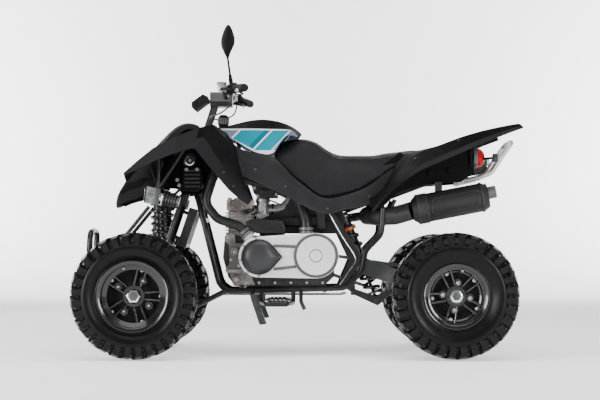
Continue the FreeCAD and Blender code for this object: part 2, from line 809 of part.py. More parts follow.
def build_steering():
    up = stem_axis()
    ahead = forward_of(up)
    head = stem_point((D.stem_head_z - D.stem_foot_z) / up.z)
    pitman_half = D.pitman_offset + 5
    pitman = Part.makeBox(D.steering_arm + 14, 2 * pitman_half, D.arm_plate)
    pitman.translate(Vector(-6, -pitman_half, -D.arm_plate / 2))
    pitman.Placement = Placement(stem_point(0), Rotation(ahead, Y_AXIS * -1, up, "ZXY")).multiply(
        pitman.Placement)
    solids = [rod(stem_point(-D.arm_plate), head, D.stem_radius), pitman]
    for side in (LEFT, RIGHT):
        inner, _outer = tie_rod_ends(side)
        eye_half = D.tie_eye_height / 2
        solids.append(rod(inner - up * (eye_half + 4), inner + up * (eye_half + 4),
                          D.tie_pin_radius))
        solids.append(rod(inner - up * (eye_half + D.open_pivot_gap),
                          inner - up * (eye_half + 1.5), D.tie_pin_radius + 3))
    clamp_centre = BAR_CENTRE
    clamp = block(clamp_centre + Vector(-D.bar_clamp_reach, -45, -38), clamp_centre + Vector(24, 45, 22))
    solids.append(clamp)
    bar = handlebar_shape()
    add("steering_stem", fused(solids).cut(bar))
    add("handlebar", bar)
    grips = []
    for side in (LEFT, RIGHT):
        end, inward = bar_end(side)
        start = end + inward * 4
        grip = rod(start, start + inward * D.grip_length, D.grip_radius)
        cap = rod(end - inward * 4, start, D.grip_radius - 2)
        flange = rod(start + inward * (D.grip_length - 5), start + inward * D.grip_length,
                     D.grip_radius + 5)
        grips.append(fused([grip, cap, flange]).cut(bar))
    add("grips", Part.makeCompound(grips))


def bar_points(side):
    """Route of one half of the handlebar, from the middle outwards."""
    return [
        BAR_CENTRE,
        BAR_CENTRE + Vector(0, side * 80, 0),
        BAR_CENTRE + Vector(-4, side * 165, 22),
        BAR_CENTRE + Vector(88, side * D.bar_half_width, 8),
    ]


def bar_end(side):
    """The outer end of the bar and its direction back inboard."""
    points = bar_points(side)
    return points[-1], (points[-2] - points[-1]).normalize()


def handlebar_shape():
    left, right = bar_points(LEFT), bar_points(RIGHT)
    return tube(left[:0:-1] + right[1:], D.bar_radius, D.bar_bend)


def build_controls():
    bar = PIECES["handlebar"].Shape
    solids = []
    for side in (LEFT, RIGHT):
        end, inward = bar_end(side)
        start = end + inward * (D.grip_length + 8)
        housing = rod(start, start + inward * 34, 21)
        reservoir_base = start + inward * 48
        perch = rod(reservoir_base, reservoir_base + inward * 26, 17)
        ahead = Vector(-1, 0, 0)
        reservoir = block(reservoir_base + Vector(-52, -16, -6), reservoir_base + Vector(-14, 30, 26))
        lever = tube([reservoir_base + ahead * 34, reservoir_base + ahead * 46 + inward * -60,
                      end + ahead * 46 + inward * 30 + Vector(0, 0, -6),
                      end + ahead * 30 + inward * 6 + Vector(0, 0, -10)], 5.5, 25)
        root = rod(reservoir_base + ahead * 10 + inward * 10, reservoir_base + ahead * 40, 9)
        bridge = rod(start + inward * 30, reservoir_base + inward * 4, 14)
        shapes = [housing, perch, reservoir, lever, root, bridge]
        if side == LEFT:
            mirror_foot = reservoir_base + inward * 12
            shapes.append(rod(mirror_foot, mirror_foot + Z_AXIS * 34, 9))
        solids.append(fused(shapes).cut(bar))
    add("controls", Part.makeCompound(solids))
    end, inward = bar_end(LEFT)
    base = end + inward * (D.grip_length + 68) + Z_AXIS * 34
    build_mirror(base)


def bend_radii(points):
    """Radii of the arcs along a route whose arcs are as large as its runs allow."""
    radii = []
    for before, corner, after in zip(points, points[1:], points[2:]):
        turn = (corner - before).getAngle(after - corner)
        reach = LONGEST_ARC_SHARE * min((corner - before).Length, (after - corner).Length)
        radii.append(round(reach / math.tan(turn / 2), 1))
    return radii


def build_cables():
    """One cable from each control housing down to the stem."""
    route = [(-268, 254, 1072), (-270, 250, 1030), (-300, 205, 1003), (-338, 140, 990),
             (-366, 72, 990), (-370, 8, 978)]
    for side, word in ((LEFT, "left"), (RIGHT, "right")):
        points = [Vector(x, side * y, z) for x, y, z in route]
        print(f"{word}_cable bend radii", bend_radii(points))
        add(f"{word}_cable", tube(points, D.cable_radius, LARGEST_BEND),
            clear_of=["controls", "steering_stem"])


def build_mirror(base):
    """The single left mirror: collar, stem and leaf-shaped head."""
    neck = Vector(-288, base.y - 10, 1222)
    stem = tube([base, base + Z_AXIS * 50, neck], 5, 40)
    collar = rod(base, base + Z_AXIS * 26, 8.5)
    sections = []
    for z, centre_x, half_depth, half_width in (
            (1215, -288, 6, 6), (1235, -287, 12, 18), (1262, -286, 17, 46), (1290, -286, 15, 55),
            (1320, -285, 11, 48), (1342, -284, 7, 30), (1353, -283, 3, 10)):
        ring = []
        for k in range(10):
            angle = 2 * math.pi * k / 10
            ring.append(Vector(centre_x + half_depth * math.cos(angle),
                               neck.y + half_width * math.sin(angle), z))
        sections.append(ring)
    head = loft(sections)
    add("mirror", fused([collar, stem, head]))


def build_instrument_pod():
    """The small display ahead of the bar, on a stalk from the stem's clamp."""
    body = new_body("instrument_pod")
    outline = [(-38, -18), (34, -20), (38, 0), (28, 20), (-30, 22), (-42, 6)]
    section = new_sketch(body, "pod_outline", "XZ_Plane", outline)
    new_pad(body, "pod_block", section, "Sizes.radiator_depth * 3", midplane=True)
    body.Placement = Placement(Vector(0, 0, 1052), Rotation(Y_AXIS, -38))
    DOC.recompute()
    clamp_face = BAR_CENTRE.x - D.bar_clamp_reach
    shift = clamp_face - 0.3 - body.Shape.BoundBox.XMax
    body.Placement = Placement(Vector(shift, 0, 1052), Rotation(Y_AXIS, -38))


# Frame


def build_frame():
    half = D.frame_half_width
    radius = D.frame_tube_radius
    left_rail = tube([
        Vector(-394, -half + 30, 560), Vector(-326, -half + 12, 292),
        Vector(-290, -half, D.rail_front_z - 1),
        Vector(196, -half, D.rail_rear_z), Vector(262, -half, 345), Vector(278, -half, 430),
        Vector(344, -half, 498), Vector(350, -half, 604),
    ], radius, D.frame_bend)
    cross_z = D.crankcase_bottom - radius
    solids = [left_rail, mirrored(left_rail)]
    for x in (-235, 110):
        solids.append(rod(Vector(x, -half, cross_z), Vector(x, half, cross_z), radius))
    solids.append(rod(Vector(-394, -half + 30, 555), Vector(-394, half - 30, 555), radius))
    solids.append(rod(Vector(212, -half, 276), Vector(212, half, 276), radius - 2))
    strut = rod(Vector(330, -half, 486), rear(-221, -half + 20, 640), 9)
    solids += [strut, mirrored(strut)]
    add("lower_frame", fused(solids))


def build_upper_frame():
    half = D.top_tube_half_width
    bearing = stem_point(D.upper_bearing_up)
    up = stem_axis()
    foot = stem_point(D.lower_bearing_up + D.bearing_block)
    top = stem_point(D.upper_bearing_up + 40)
    left = tube([
        foot - Y_AXIS * half, top - Y_AXIS * half, Vector(-200, -half, 742), Vector(60, -half, 655),
        rear(-282, -half, 640), rear(-90, -half, 712), rear(60, -half, 752),
    ], D.top_tube_radius, D.frame_bend)
    plate = Part.makeBox(44, 2 * half, D.bearing_block, Vector(-22, -half, -D.bearing_block / 2))
    plate.Placement = Placement(bearing, Rotation(Z_AXIS, up))
    bore = Part.makeCylinder(D.stem_radius + D.pin_play, 80, bearing - up * 40, up)
    solids = [left, mirrored(left), plate]
    for x, z in ((-250, 757), (60, 655)):
        solids.append(rod(Vector(x, -half, z), Vector(x, half, z), 10))
    tail = rear(50, -half, 749)
    solids.append(rod(tail, rear(50, half, 749), 10))
    seat_link = rod(Vector(348, -D.frame_half_width, 604), rear(-276, -half, 642), 10)
    solids += [seat_link, mirrored(seat_link)]
    shock_bracket = block(Vector(44, -24, 612), Vector(198, 24, 662))
    solids.append(shock_bracket)
    stays = [
        (Vector(-250, -50, 757), Vector(-250, -50, 980), "tank_cover"),
        (Vector(60, -70, 655), Vector(75, -70, 880), "seat"),
        (rear(-150, -half, 690), rear(-150, -half + 10, 840), "seat"),
        (Vector(-90, -half, 706), Vector(-90, -240, 706), "side_panels"),
        (Vector(200, -half, 648), Vector(200, -230, 640), "side_panels"),
        (rear(0, -half, 735), rear(0, -half, 890), "rear_fender"),
    ]
    for start, end, carried in stays:
        arm = stay(start, end, 7, carried)
        solids += [arm, mirrored(arm)]
    add("upper_frame", fused(solids).cut(bore),
        clear_of=["lower_frame", "front_frame", "tail_bracket"])


def build_front_frame():
    """Front bulkheads with the arms' pivot rods, rails and the lower stem bearing."""
    reach = D.bulkhead_reach
    solids = []
    outline = [(-110, 175), (110, 175), (112, 235), (100, 330), (112, 392), (-112, 392),
               (-100, 330), (-112, 235)]
    window = [(-62, 225), (62, 225), (66, 345), (-66, 345)]
    for x in (-reach - D.bulkhead, reach):
        corners = [front(x, y, z) for y, z in outline]
        plate = Part.Face(Part.makePolygon(corners + corners[:1])).extrude(X_AXIS * D.bulkhead)
        holes = [front(x, y, z) for y, z in window]
        plate = plate.cut(Part.Face(Part.makePolygon(holes + holes[:1])).extrude(X_AXIS * D.bulkhead))
        solids.append(plate)
    for side in (LEFT, RIGHT):
        for z in (D.arm_lower_pivot_z, D.arm_upper_pivot_z):
            start = front(-reach - D.bulkhead - 3, side * D.arm_pivot_y, z)
            solids.append(Part.makeCylinder(D.pivot_rod_radius, 2 * reach + D.bulkhead * 2 + 6,
                                            start, X_AXIS))
        for y, z in ((60, 190), (70, 384)):
            solids.append(Part.makeCylinder(11, 2 * reach + D.bulkhead, front(-reach, side * y, z), X_AXIS))
        foot = front(reach + D.bulkhead, side * 60, 190)
        solids.append(tube([foot - X_AXIS * 10, foot + Vector(90, side * 30, 10),
                            Vector(-300, side * (D.frame_half_width - 6), D.rail_front_z)], 11, 40))
        crown = front(40, side * 70, 384)
        top, _foot = shock_points(side)
        solids.append(tube([crown, front(60, side * 140, 560),
                            top + Vector(0, -side * 18, 26)], 11, 60))
        root = top + Vector(0, -side * 18, 26)
        solids.append(stay(root, root + Vector(0, 0, 220), 7, "front_fender"))
        solids.append(stay(root, root + Vector(-62, -side * 62, 180), 7, "nose_cowl"))
        solids.append(stay(root, root + Vector(170, side * 40, 260), 7, "front_fender"))
        y_low, y_high = sorted((top.y, top.y - side * 36))
        cheek = D.shock_eye_half + 0.2
        for x_low, x_high, z_low in ((-20, -cheek, -16), (cheek, 20, -16), (-20, 20, 16)):
            solids.append(block(Vector(top.x + x_low, y_low, top.z + z_low),
                                Vector(top.x + x_high, y_high, top.z + 30)))
    left_top, _foot = shock_points(LEFT)
    right_top, _foot = shock_points(RIGHT)
    solids.append(rod(left_top + Vector(0, 18, 26), right_top + Vector(0, -18, 26), 11))
    up = stem_axis()
    bearing = stem_point(D.lower_bearing_up)
    plate = Part.makeBox(44, 150, D.bearing_block, Vector(-22, -75, -D.bearing_block / 2))
    plate.Placement = Placement(bearing, Rotation(Z_AXIS, up))
    solids.append(plate)
    bore = Part.makeCylinder(D.stem_radius + D.pin_play, 100, bearing - up * 50, up)
    add("front_frame", fused(solids).cut(bore), clear_of=["lower_frame", "suspension_arms", "front_shocks"])


def build_bumper():
    """Loop of tube with a cross bar, held on the front bulkhead and the upper struts."""
    half = 117
    loop = tube([front(-120, -92, 215), Vector(-838, -108, 330), Vector(-866, -half, 430),
                 Vector(-862, -half, 505), Vector(-862, 0, 511), Vector(-862, half, 505),
                 Vector(-866, half, 430), Vector(-838, 108, 330), front(-120, 92, 215)], 12.5, 40)
    behind = block(front(-D.bulkhead_reach - D.bulkhead, -half, 0), front(0, half, 600))
    brace = rod(Vector(-866, -half, 428), Vector(-866, half, 428), 8)
    strut = rod(front(-68, -109, 492), front(30, -118, 612), 8)
    rail = tube([Vector(-853, -113, 385), front(-120, -112, 440), front(-60, -108, 500)], 8, 30)
    add("front_bumper", fused([loop.cut(behind), brace, rail, mirrored(rail), strut,
                               mirrored(strut)]), clear_of=["front_frame"])


def build_skid_plate():
    body = new_body("skid_plate")
    bottom = D.rail_front_z - D.frame_tube_radius - 5
    outline = [(-330, bottom + 3), (-318, bottom), (180, bottom), (200, bottom + 6),
               (200, bottom + 9), (179, bottom + 3), (-317, bottom + 3), (-330, bottom + 6)]
    section = new_sketch(body, "skid_outline", "XZ_Plane", outline)
    new_pad(body, "skid_sheet", section, "Sizes.crankcase_half_width * 2", midplane=True)


# Engine


def build_crankcase():
    body = new_body("crankcase")
    low = D.crankcase_bottom
    high = D.crankcase_top
    outline = [(-262, low), (106, low), (150, 322), (150, 430), (92, 470), (-110, high),
               (-304, high), (-312, 400), (-290, 320)]
    section = new_sketch(body, "crankcase_outline", "XZ_Plane", outline)
    new_pad(body, "crankcase_block", section, "Sizes.crankcase_half_width * 2", midplane=True)


def build_cylinder():
    """Finned barrel with a head cover on top of the crankcase."""
    body = new_body("cylinder")
    half_x, half_y = D.cylinder_length / 2, D.cylinder_width / 2
    centre = D.cylinder_centre_x
    base = D.crankcase_top + D.seam
    inset = 12
    core = new_sketch(body, "barrel_outline", "XY_Plane", [
        (centre - half_x + inset, -half_y + inset), (centre + half_x - inset, -half_y + inset),
        (centre + half_x - inset, half_y - inset), (centre - half_x + inset, half_y - inset),
    ], offset=base)
    new_pad(body, "barrel", core, "Sizes.cylinder_top - Sizes.crankcase_top - Sizes.seam")
    fin = new_sketch(body, "fin_outline", "XY_Plane", [
        (centre - half_x, -half_y), (centre + half_x, -half_y), (centre + half_x, half_y),
        (centre - half_x, half_y),
    ], offset=base + 8)
    first = new_pad(body, "fin_first", fin, "Sizes.fin")
    pattern = body.newObject("PartDesign::LinearPattern", "fins")
    pattern.Originals = [first]
    pattern.Direction = (fin, ["N_Axis"])
    pattern.setExpression("Length", "Sizes.fin_pitch * (Sizes.fin_count - 1)")
    pattern.setExpression("Occurrences", "Sizes.fin_count")
    body.Tip = pattern
    DOC.recompute()
    head = new_sketch(body, "head_outline", "XY_Plane", [
        (centre - half_x + 6, -half_y - 6), (centre + half_x - 6, -half_y - 6),
        (centre + half_x, half_y + 4), (centre - half_x, half_y + 4),
    ], offset=D.cylinder_top - D.head_height)
    new_pad(body, "head_cover", head, "Sizes.head_height")


def stadium(radius_a, centre_a, radius_b, centre_b, steps):
    """Outline of a belt drive cover: two round ends joined by straight edges."""
    (xa, za), (xb, zb) = centre_a, centre_b
    points = []
    for k in range(steps + 1):
        angle = math.radians(90 + 180 * k / steps)
        points.append((xa + radius_a * math.cos(angle), za + radius_a * math.sin(angle)))
    for k in range(steps + 1):
        angle = math.radians(-90 + 180 * k / steps)
        points.append((xb + radius_b * math.cos(angle), zb + radius_b * math.sin(angle)))
    return points


def build_belt_cover():
    body = new_body("belt_cover")
    outline = stadium(82, (D.variator_x, D.variator_z), D.clutch_radius,
                      (D.clutch_x, D.clutch_z), 14)
    inner_face = D.belt_cover_face - D.belt_cover_depth
    section = new_sketch(body, "cover_outline", "XZ_Plane", outline, offset=inner_face)
    new_pad(body, "cover_block", section, "Sizes.belt_cover_depth")
    neck = new_sketch(body, "cover_neck", "XZ_Plane", circles=[(
        (D.variator_x + D.clutch_x) / 2, (D.variator_z + D.clutch_z) / 2, 70)],
        offset=D.crankcase_half_width)
    new_pad(body, "cover_neck_block", neck, "Sizes.belt_cover_face - Sizes.belt_cover_depth"
            " - Sizes.crankcase_half_width")
    ring = new_sketch(body, "clutch_ring", "XZ_Plane",
                      circles=[(D.clutch_x, D.clutch_z, D.clutch_disc_radius)],
                      offset=D.belt_cover_face)
    new_pad(body, "clutch_disc", ring, "Sizes.fin * 2")
    centre = new_sketch(body, "clutch_centre", "XZ_Plane", circles=[(D.clutch_x, D.clutch_z, 24)],
                        offset=D.belt_cover_face)
    new_pad(body, "clutch_boss", centre, "Sizes.fin * 2.4")
    for name, rib_z in (("upper_rib", 447), ("lower_rib", 359)):
        rib = new_sketch(body, name, "XZ_Plane", [(-110, rib_z - 4), (-12, rib_z - 4), (-12, rib_z + 4),
                                                  (-110, rib_z + 4)], offset=D.belt_cover_face)
        new_pad(body, name + "_pad", rib, "Sizes.fin")


def build_variator_cap():
    face = -D.belt_cover_face
    centre = Vector(D.variator_x, face - 0.3, D.variator_z)
    radius, depth = D.variator_radius, D.variator_depth
    dome = turned([(0, 0), (0, radius), (depth * 0.55, radius), (depth * 0.85, radius * 0.86),
                   (depth, radius * 0.6), (depth, 0)], centre, Y_AXIS * -1)
    beak = prism([(D.variator_x, D.variator_z + radius * 0.98),
                  (D.variator_x + radius * 1.32, D.variator_z),
                  (D.variator_x, D.variator_z - radius * 0.98)], centre.y - depth * 0.5, centre.y)
    add("variator_cap", fused([dome, beak]), clear_of=["belt_cover"])


def build_ducts():
    face = -D.belt_cover_face + D.belt_cover_depth / 2
    intake = tube([Vector(-196, face, 478), Vector(-240, face, 530), Vector(-330, -212, 560),
                   Vector(-382, -205, 625), Vector(-345, -190, 742)], 19, 60)
    outlet = tube([Vector(33, face, 480), Vector(33, face, 545), Vector(14, -178, 606),
                   Vector(5, -165, 640)], 23, 60)
    add("cooling_ducts", Part.makeCompound([intake, outlet]), clear_of=["belt_cover"])


def build_carburettor():
    centre = Vector(D.cylinder_centre_x + D.cylinder_length / 2, 0, 600)
    throat = rod(centre + X_AXIS * 0.3, centre + X_AXIS * 40, 20)
    barrel = rod(centre + Vector(36, -6, -34), centre + Vector(36, -6, 34), 27)
    bell = rod(centre + X_AXIS * 56, centre + X_AXIS * 90, 26)
    hose = tube([centre + X_AXIS * 88, centre + X_AXIS * 125 + Z_AXIS * 6,
                 Vector(-20.3, 0, 650)], 24, 40)
    add("carburettor", fused([throat, barrel, bell, hose]), clear_of=["cylinder", "airbox"])


def build_airbox():
    body = new_body("airbox")
    outline = [(-20, 606), (36, 606), (36, 690), (-4, 700), (-20, 690)]
    section = new_sketch(body, "airbox_outline", "XZ_Plane", outline)
    new_pad(body, "airbox_block", section, "Sizes.top_tube_half_width", midplane=True)


def build_exhaust():
    start = Vector(D.cylinder_centre_x - 20, D.cylinder_width / 2 + 4.3, 620)
    pipe = tube([start, start + Vector(-8, 40, -6), start + Vector(40, 92, -42), Vector(60, 158, 566),
                 Vector(200, 150, 566), Vector(262, 60, 574), Vector(300, -20, 576)], 19, 70)
    bulge = tube([Vector(290, -2, 576), Vector(330, -90, 572), Vector(400, -140, 574),
                  Vector(470, -170, 594)], 38, 60)
    add("exhaust_pipe", fused([pipe, bulge]),
        clear_of=["lower_frame", "upper_frame", "cylinder"])
    front_end = rear(-152, -D.silencer_y, 594)
    rear_end = rear(158, -D.silencer_y, 654)
    along = (rear_end - front_end).normalize()
    length = (rear_end - front_end).Length
    radius = D.silencer_radius
    can = turned([(0, 0), (0, radius * 0.72), (20, radius), (length - 22, radius),
                  (length, radius * 0.8), (length, 0)], front_end, along)
    band = turned([(26, radius - 2), (26, radius + 3), (58, radius + 3), (58, radius - 2)],
                  front_end, along)
    tip = sleeve(rear_end + along * 14 + Z_AXIS * 12, along, 25, 21, 36)
    hanger = block(rear(-60, -D.silencer_y - 8, 660), rear(-30, -D.silencer_y + 8, 712))
    bracket = rod(rear(-45, -D.silencer_y, 704), rear(-75, -D.top_tube_half_width, 717), 8)
    add("silencer", fused([can, band, tip, hanger, bracket]),
        clear_of=["exhaust_pipe", "lower_frame", "upper_frame"])


def build_radiator():
    """The cooler stands parallel to the stem, just behind it, on four short lugs."""
    body = new_body("radiator")
    half = D.radiator_height / 2
    section = new_sketch(body, "radiator_outline", "YZ_Plane", [
        (-D.radiator_width / 2, -half), (D.radiator_width / 2, -half),
        (D.radiator_width / 2, half), (-D.radiator_width / 2, half)])
    new_pad(body, "radiator_core", section, "Sizes.radiator_depth", midplane=True)
    lugs = new_sketch(body, "radiator_lugs", "YZ_Plane", circles=[
        (y, z, 7) for y in (-D.top_tube_half_width, D.top_tube_half_width)
        for z in (-half * 0.7, half * 0.7)])
    centre = Vector(D.radiator_x, 0, D.radiator_z)
    up = stem_axis()
    behind = Vector(up.z, 0, -up.x)
    reach = (centre - stem_point(0)).dot(behind) - D.top_tube_radius
    new_pad(body, "radiator_lug_pads", lugs, f"{reach:.2f}", backwards=True)
    body.Placement = Placement(centre, Rotation(Z_AXIS, up))


# Rear end


def build_swingarm():
    axle_z = D.rear_tyre_radius
    outline = [(232, 388), (320, 386), (404, 354), (REAR_AXLE_X - 20, axle_z + 36),
               (REAR_AXLE_X + 20, axle_z + 34), (REAR_AXLE_X + 20, axle_z - 34),
               (REAR_AXLE_X - 20, axle_z - 36), (388, 292), (273, 328), (232, 330)]
    beam = prism(outline, -98, -62)
    pivot = rod(Vector(250, -62, 358), Vector(250, -D.frame_half_width, 358), 13)
    centre = Vector(REAR_AXLE_X, 0, axle_z)
    carrier = rod(centre - Y_AXIS * D.carrier_half_width, centre + Y_AXIS * D.carrier_half_width,
                  D.carrier_radius)
    cross = block(Vector(440, -62, 280), Vector(470, 62, 330))
    bearing = rod(centre - Y_AXIS * 98, centre - Y_AXIS * 60, 40)
    solids = [beam, mirrored(beam), pivot, mirrored(pivot), carrier, cross, bearing,
              mirrored(bearing)]
    bore = rod(centre - Y_AXIS * 120, centre + Y_AXIS * 120, D.axle_radius + D.pin_play)
    hub_clear = rod(centre - Y_AXIS * 260, centre - Y_AXIS * 103, 36)
    arm = fused(solids).cut(bore).cut(hub_clear)
    caliper = block(rear(-118, -142, axle_z + 20), rear(-58, -98.3, axle_z + 74))
    slot = rod(centre - Y_AXIS * (D.rear_disc_y + 7), centre - Y_AXIS * (D.rear_disc_y - 7),
               D.rear_disc_radius + D.running_gap)
    add("swingarm", Part.makeCompound([arm, caliper.cut(slot)]), clear_of=["lower_frame"])


def build_linkage():
    rocker = [(222, 242), (238, 242), (334, 198), (352, 212), (396, 262), (388, 274), (330, 236),
              (236, 268), (222, 262)]
    plates = [prism(rocker, 30, 38), prism(rocker, -38, -30)]
    pins = [rod(Vector(328, -42, 216), Vector(328, 42, 216), 10),
            rod(Vector(230, -42, 254), Vector(230, 42, 254), 9),
            rod(Vector(388, -42, 266), Vector(388, 42, 266), 8)]
    hanger = block(Vector(216, 18, 258), Vector(240, 29.9, 290))
    lug = prism([(378, 262), (398, 262), (402, 292), (376, 296)], -61, -42)
    add("shock_linkage", fused(plates + pins + [hanger, mirrored(hanger)]),
        clear_of=["lower_frame", "swingarm"])
    link_lug = pair(lug)
    PIECES["shock_linkage"].Shape = fused([PIECES["shock_linkage"].Shape] + link_lug.Solids).cut(
        PIECES["swingarm"].Shape)
    foot = Vector(328, 0, 230)
    top = Vector(178, 0, 600)
    damper, coil = damper_shape(top, foot, 24, 30, 6, 7)
    add("rear_shock", damper, clear_of=["shock_linkage", "upper_frame", "airbox"])
    add("rear_spring", coil)


def build_chain():
    """The drive chain as one closed band round both sprockets, in straight segments."""
    axle = Vector(REAR_AXLE_X, 0, D.rear_tyre_radius)
    drive = Vector(D.drive_sprocket_x, 0, D.drive_sprocket_z)
    inner_rear = D.sprocket_radius + 1.5
    inner_front = D.drive_sprocket_radius + 1

    def loop(grow):
        r_rear, r_front = inner_rear + grow, inner_front + grow
        span = axle - drive
        distance = span.Length
        tilt = math.atan2(span.z, span.x)
        spread = math.acos((r_front - r_rear) / distance)
        points = []
        steps = 12
        for k in range(steps + 1):
            angle = tilt + spread - (2 * spread) * k / steps
            reach = r_rear / math.cos(spread / steps)
            points.append((axle.x + reach * math.cos(angle), axle.z + reach * math.sin(angle)))
        steps = 6
        sweep = 2 * math.pi - 2 * spread
        for k in range(steps + 1):
            angle = tilt - spread - sweep * k / steps
            reach = r_front / math.cos(sweep / 2 / steps)
            points.append((drive.x + reach * math.cos(angle), drive.z + reach * math.sin(angle)))
        return points

    y_low = D.chain_y - D.chain_width / 2
    y_high = D.chain_y + D.chain_width / 2
    band = prism(loop(D.chain_height), y_low, y_high).cut(prism(loop(0), y_low, y_high))
    sprocket = rod(drive + Y_AXIS * (D.crankcase_half_width + 0.3), drive + Y_AXIS * y_high, 12)
    disc = rod(drive + Y_AXIS * (D.chain_y - 3), drive + Y_AXIS * (D.chain_y + 3),
               D.drive_sprocket_radius + 0.7)
    add("drive_chain", Part.makeCompound([band, fused([sprocket, disc])]))


# Bodywork


def build_front_fender():
    stations = [
        [(-57, -215, 712), (-46, -420, 738), (-43, -427, 734), (-40, -431, 729)],
        [(8, -190, 790), (8, -428, 784), (15, -434, 772), (22, -438, 758)],
        [(78, -172, 852), (73, -426, 836), (80, -434, 812), (88, -440, 788)],
        [(158, -162, 900), (165, -404, 882), (165, -424, 850), (163, -438, 818)],
        [(248, -162, 935), (253, -335, 922), (242, -390, 880), (233, -430, 834)],
        [(303, -165, 948), (296, -244, 940), (262, -385, 880), (244, -424, 832)],
        [(356, -200, 912), (346, -280, 884), (300, -385, 812), (286, -406, 778)],
        [(396, -224, 852), (386, -286, 812), (341, -364, 760), (326, -376, 728)],
        [(410, -248, 772), (406, -284, 746), (384, -330, 697), (371, -334, 674)],
        [(436, -260, 700), (432, -274, 690), (416, -302, 656), (408, -300, 641)],
        [(460, -272, 634), (457, -276, 629), (450, -285, 621), (444, -285, 616)],
    ]
    grid = [[front(*point) for point in line] for line in stations]
    shape = panel(grid, D.panel_wall)
    add("front_fender", pair(shape))


def build_nose_cowl():
    stations = [
        ((-96, 134, 617), (-102, 130, 621), (-112, 70, 612), (-117, 608)),
        ((-50, 146, 634), (-92, 142, 664), (-104, 76, 662), (-108, 662)),
        ((3, 152, 652), (-67, 158, 705), (-76, 82, 711), (-79, 714)),
        ((52, 156, 696), (-34, 163, 750), (-45, 83, 760), (-49, 765)),
        ((70, 160, 760), (23, 165, 800), (8, 80, 815), (3, 820)),
        ((125, 156, 860), (108, 152, 893), (93, 70, 905), (90, 908)),
        ((182, 126, 930), (178, 120, 950), (165, 50, 960), (163, 962)),
        ((234, 118, 930), (232, 112, 947), (230, 50, 953), (230, 954)),
    ]
    grid = []
    for *side, ridge in stations:
        half = [front(x, -y, z) for x, y, z in side]
        other = [front(x, y, z) for x, y, z in reversed(side)]
        grid.append(half + [front(ridge[0], 0, ridge[1])] + other)
    add("nose_cowl", panel(grid, D.panel_wall))


def build_tank_cover():
    stations = [
        ((-325, 185, 913), (-330, 130, 936), (-332, 60, 944), (-333, 946)),
        ((-254, 203, 882), (-250, 145, 932), (-250, 62, 962), (-250, 967)),
        ((-190, 208, 842), (-170, 152, 926), (-165, 62, 977), (-164, 982)),
        ((-104, 204, 832), (-95, 142, 915), (-86, 60, 969), (-85, 974)),
        ((-66, 186, 888), (-50, 130, 925), (-40, 58, 953), (-38, 958)),
        ((-8, 140, 902), (4, 90, 909), (14, 45, 917), (16, 920)),
    ]
    grid = []
    for edge, shoulder, crown, ridge in stations:
        left = [Vector(x, -y, z) for x, y, z in (edge, shoulder, crown)]
        right = [Vector(x, y, z) for x, y, z in (crown, shoulder, edge)]
        grid.append(left + [Vector(ridge[0], 0, ridge[1])] + right)
    add("tank_cover", panel(grid, D.panel_wall))
    foot = Vector(-318, 0, 925)
    lean = Vector(0.06, 0, 1)
    cap = fused([rod(foot, foot + lean * 36, 19), rod(foot + lean * 30, foot + lean * 66, 22),
                 rod(foot + lean * 66, foot + lean * 76, 22, 14)])
    add("fuel_cap", cap, clear_of=["tank_cover"])


def build_seat():
    stations = [
        (-98, 858, 100, 800, 176), (-60, 888, 104, 772, 186), (-10, 897, 108, 730, 192),
        (45, 893, 112, 688, 198), (98, 862, 118, 655, 200), (160, 828, 124, 660, 200),
        (215, 822, 126, 672, 199), (285, 822, 124, 702, 197), (350, 830, 118, 744, 186),
        (400, 837, 112, 780, 166), (455, 844, 104, 796, 146), (510, 851, 92, 806, 122),
    ]
    sections = []
    for x, top, top_half, low, low_half in stations:
        depth = top - low
        wall = D.seat_wall
        drop = 0.55 * depth if depth < 100 else 55
        right = [
            Vector(x, 0, top), Vector(x, top_half * 0.6, top - 3), Vector(x, top_half, top - 12),
            Vector(x, (top_half + low_half) / 2 + 8, top * 0.5 + low * 0.5),
            Vector(x, low_half, low), Vector(x, low_half - wall, low),
            Vector(x, top_half - 20, top - drop), Vector(x, 0, top - drop),
        ]
        left = [Vector(p.x, -p.y, p.z) for p in right[1:-1]]
        sections.append(right + left[::-1])
    add("seat", loft(sections), clear_of=["tank_cover"])


def build_side_panels():
    stations = [
        [(-286, -190, 900), (-255, -226, 830), (-224, -242, 732)],
        [(-195, -212, 832), (-190, -230, 780), (-150, -240, 698)],
        [(-106, -206, 812), (-95, -228, 755), (-69, -234, 661)],
        [(-32, -206, 740), (-25, -224, 700), (0, -226, 625)],
        [(42, -206, 680), (50, -220, 648), (60, -220, 594)],
        [(98, -206, 646), (100, -216, 620), (105, -217, 581)],
        [(203, -206, 658), (203, -214, 635), (203, -219, 598)],
        [(285, -208, 692), (288, -212, 664), (294, -214, 622)],
        [(330, -203, 724), (334, -206, 706), (342, -208, 680)],
        [(388, -188, 766), (391, -191, 756), (395, -193, 744)],
    ]
    grid = [[Vector(*point) for point in line] for line in stations]
    shape = panel(grid, D.panel_wall)
    add("side_panels", pair(shape), clear_of=["seat", "tank_cover"])


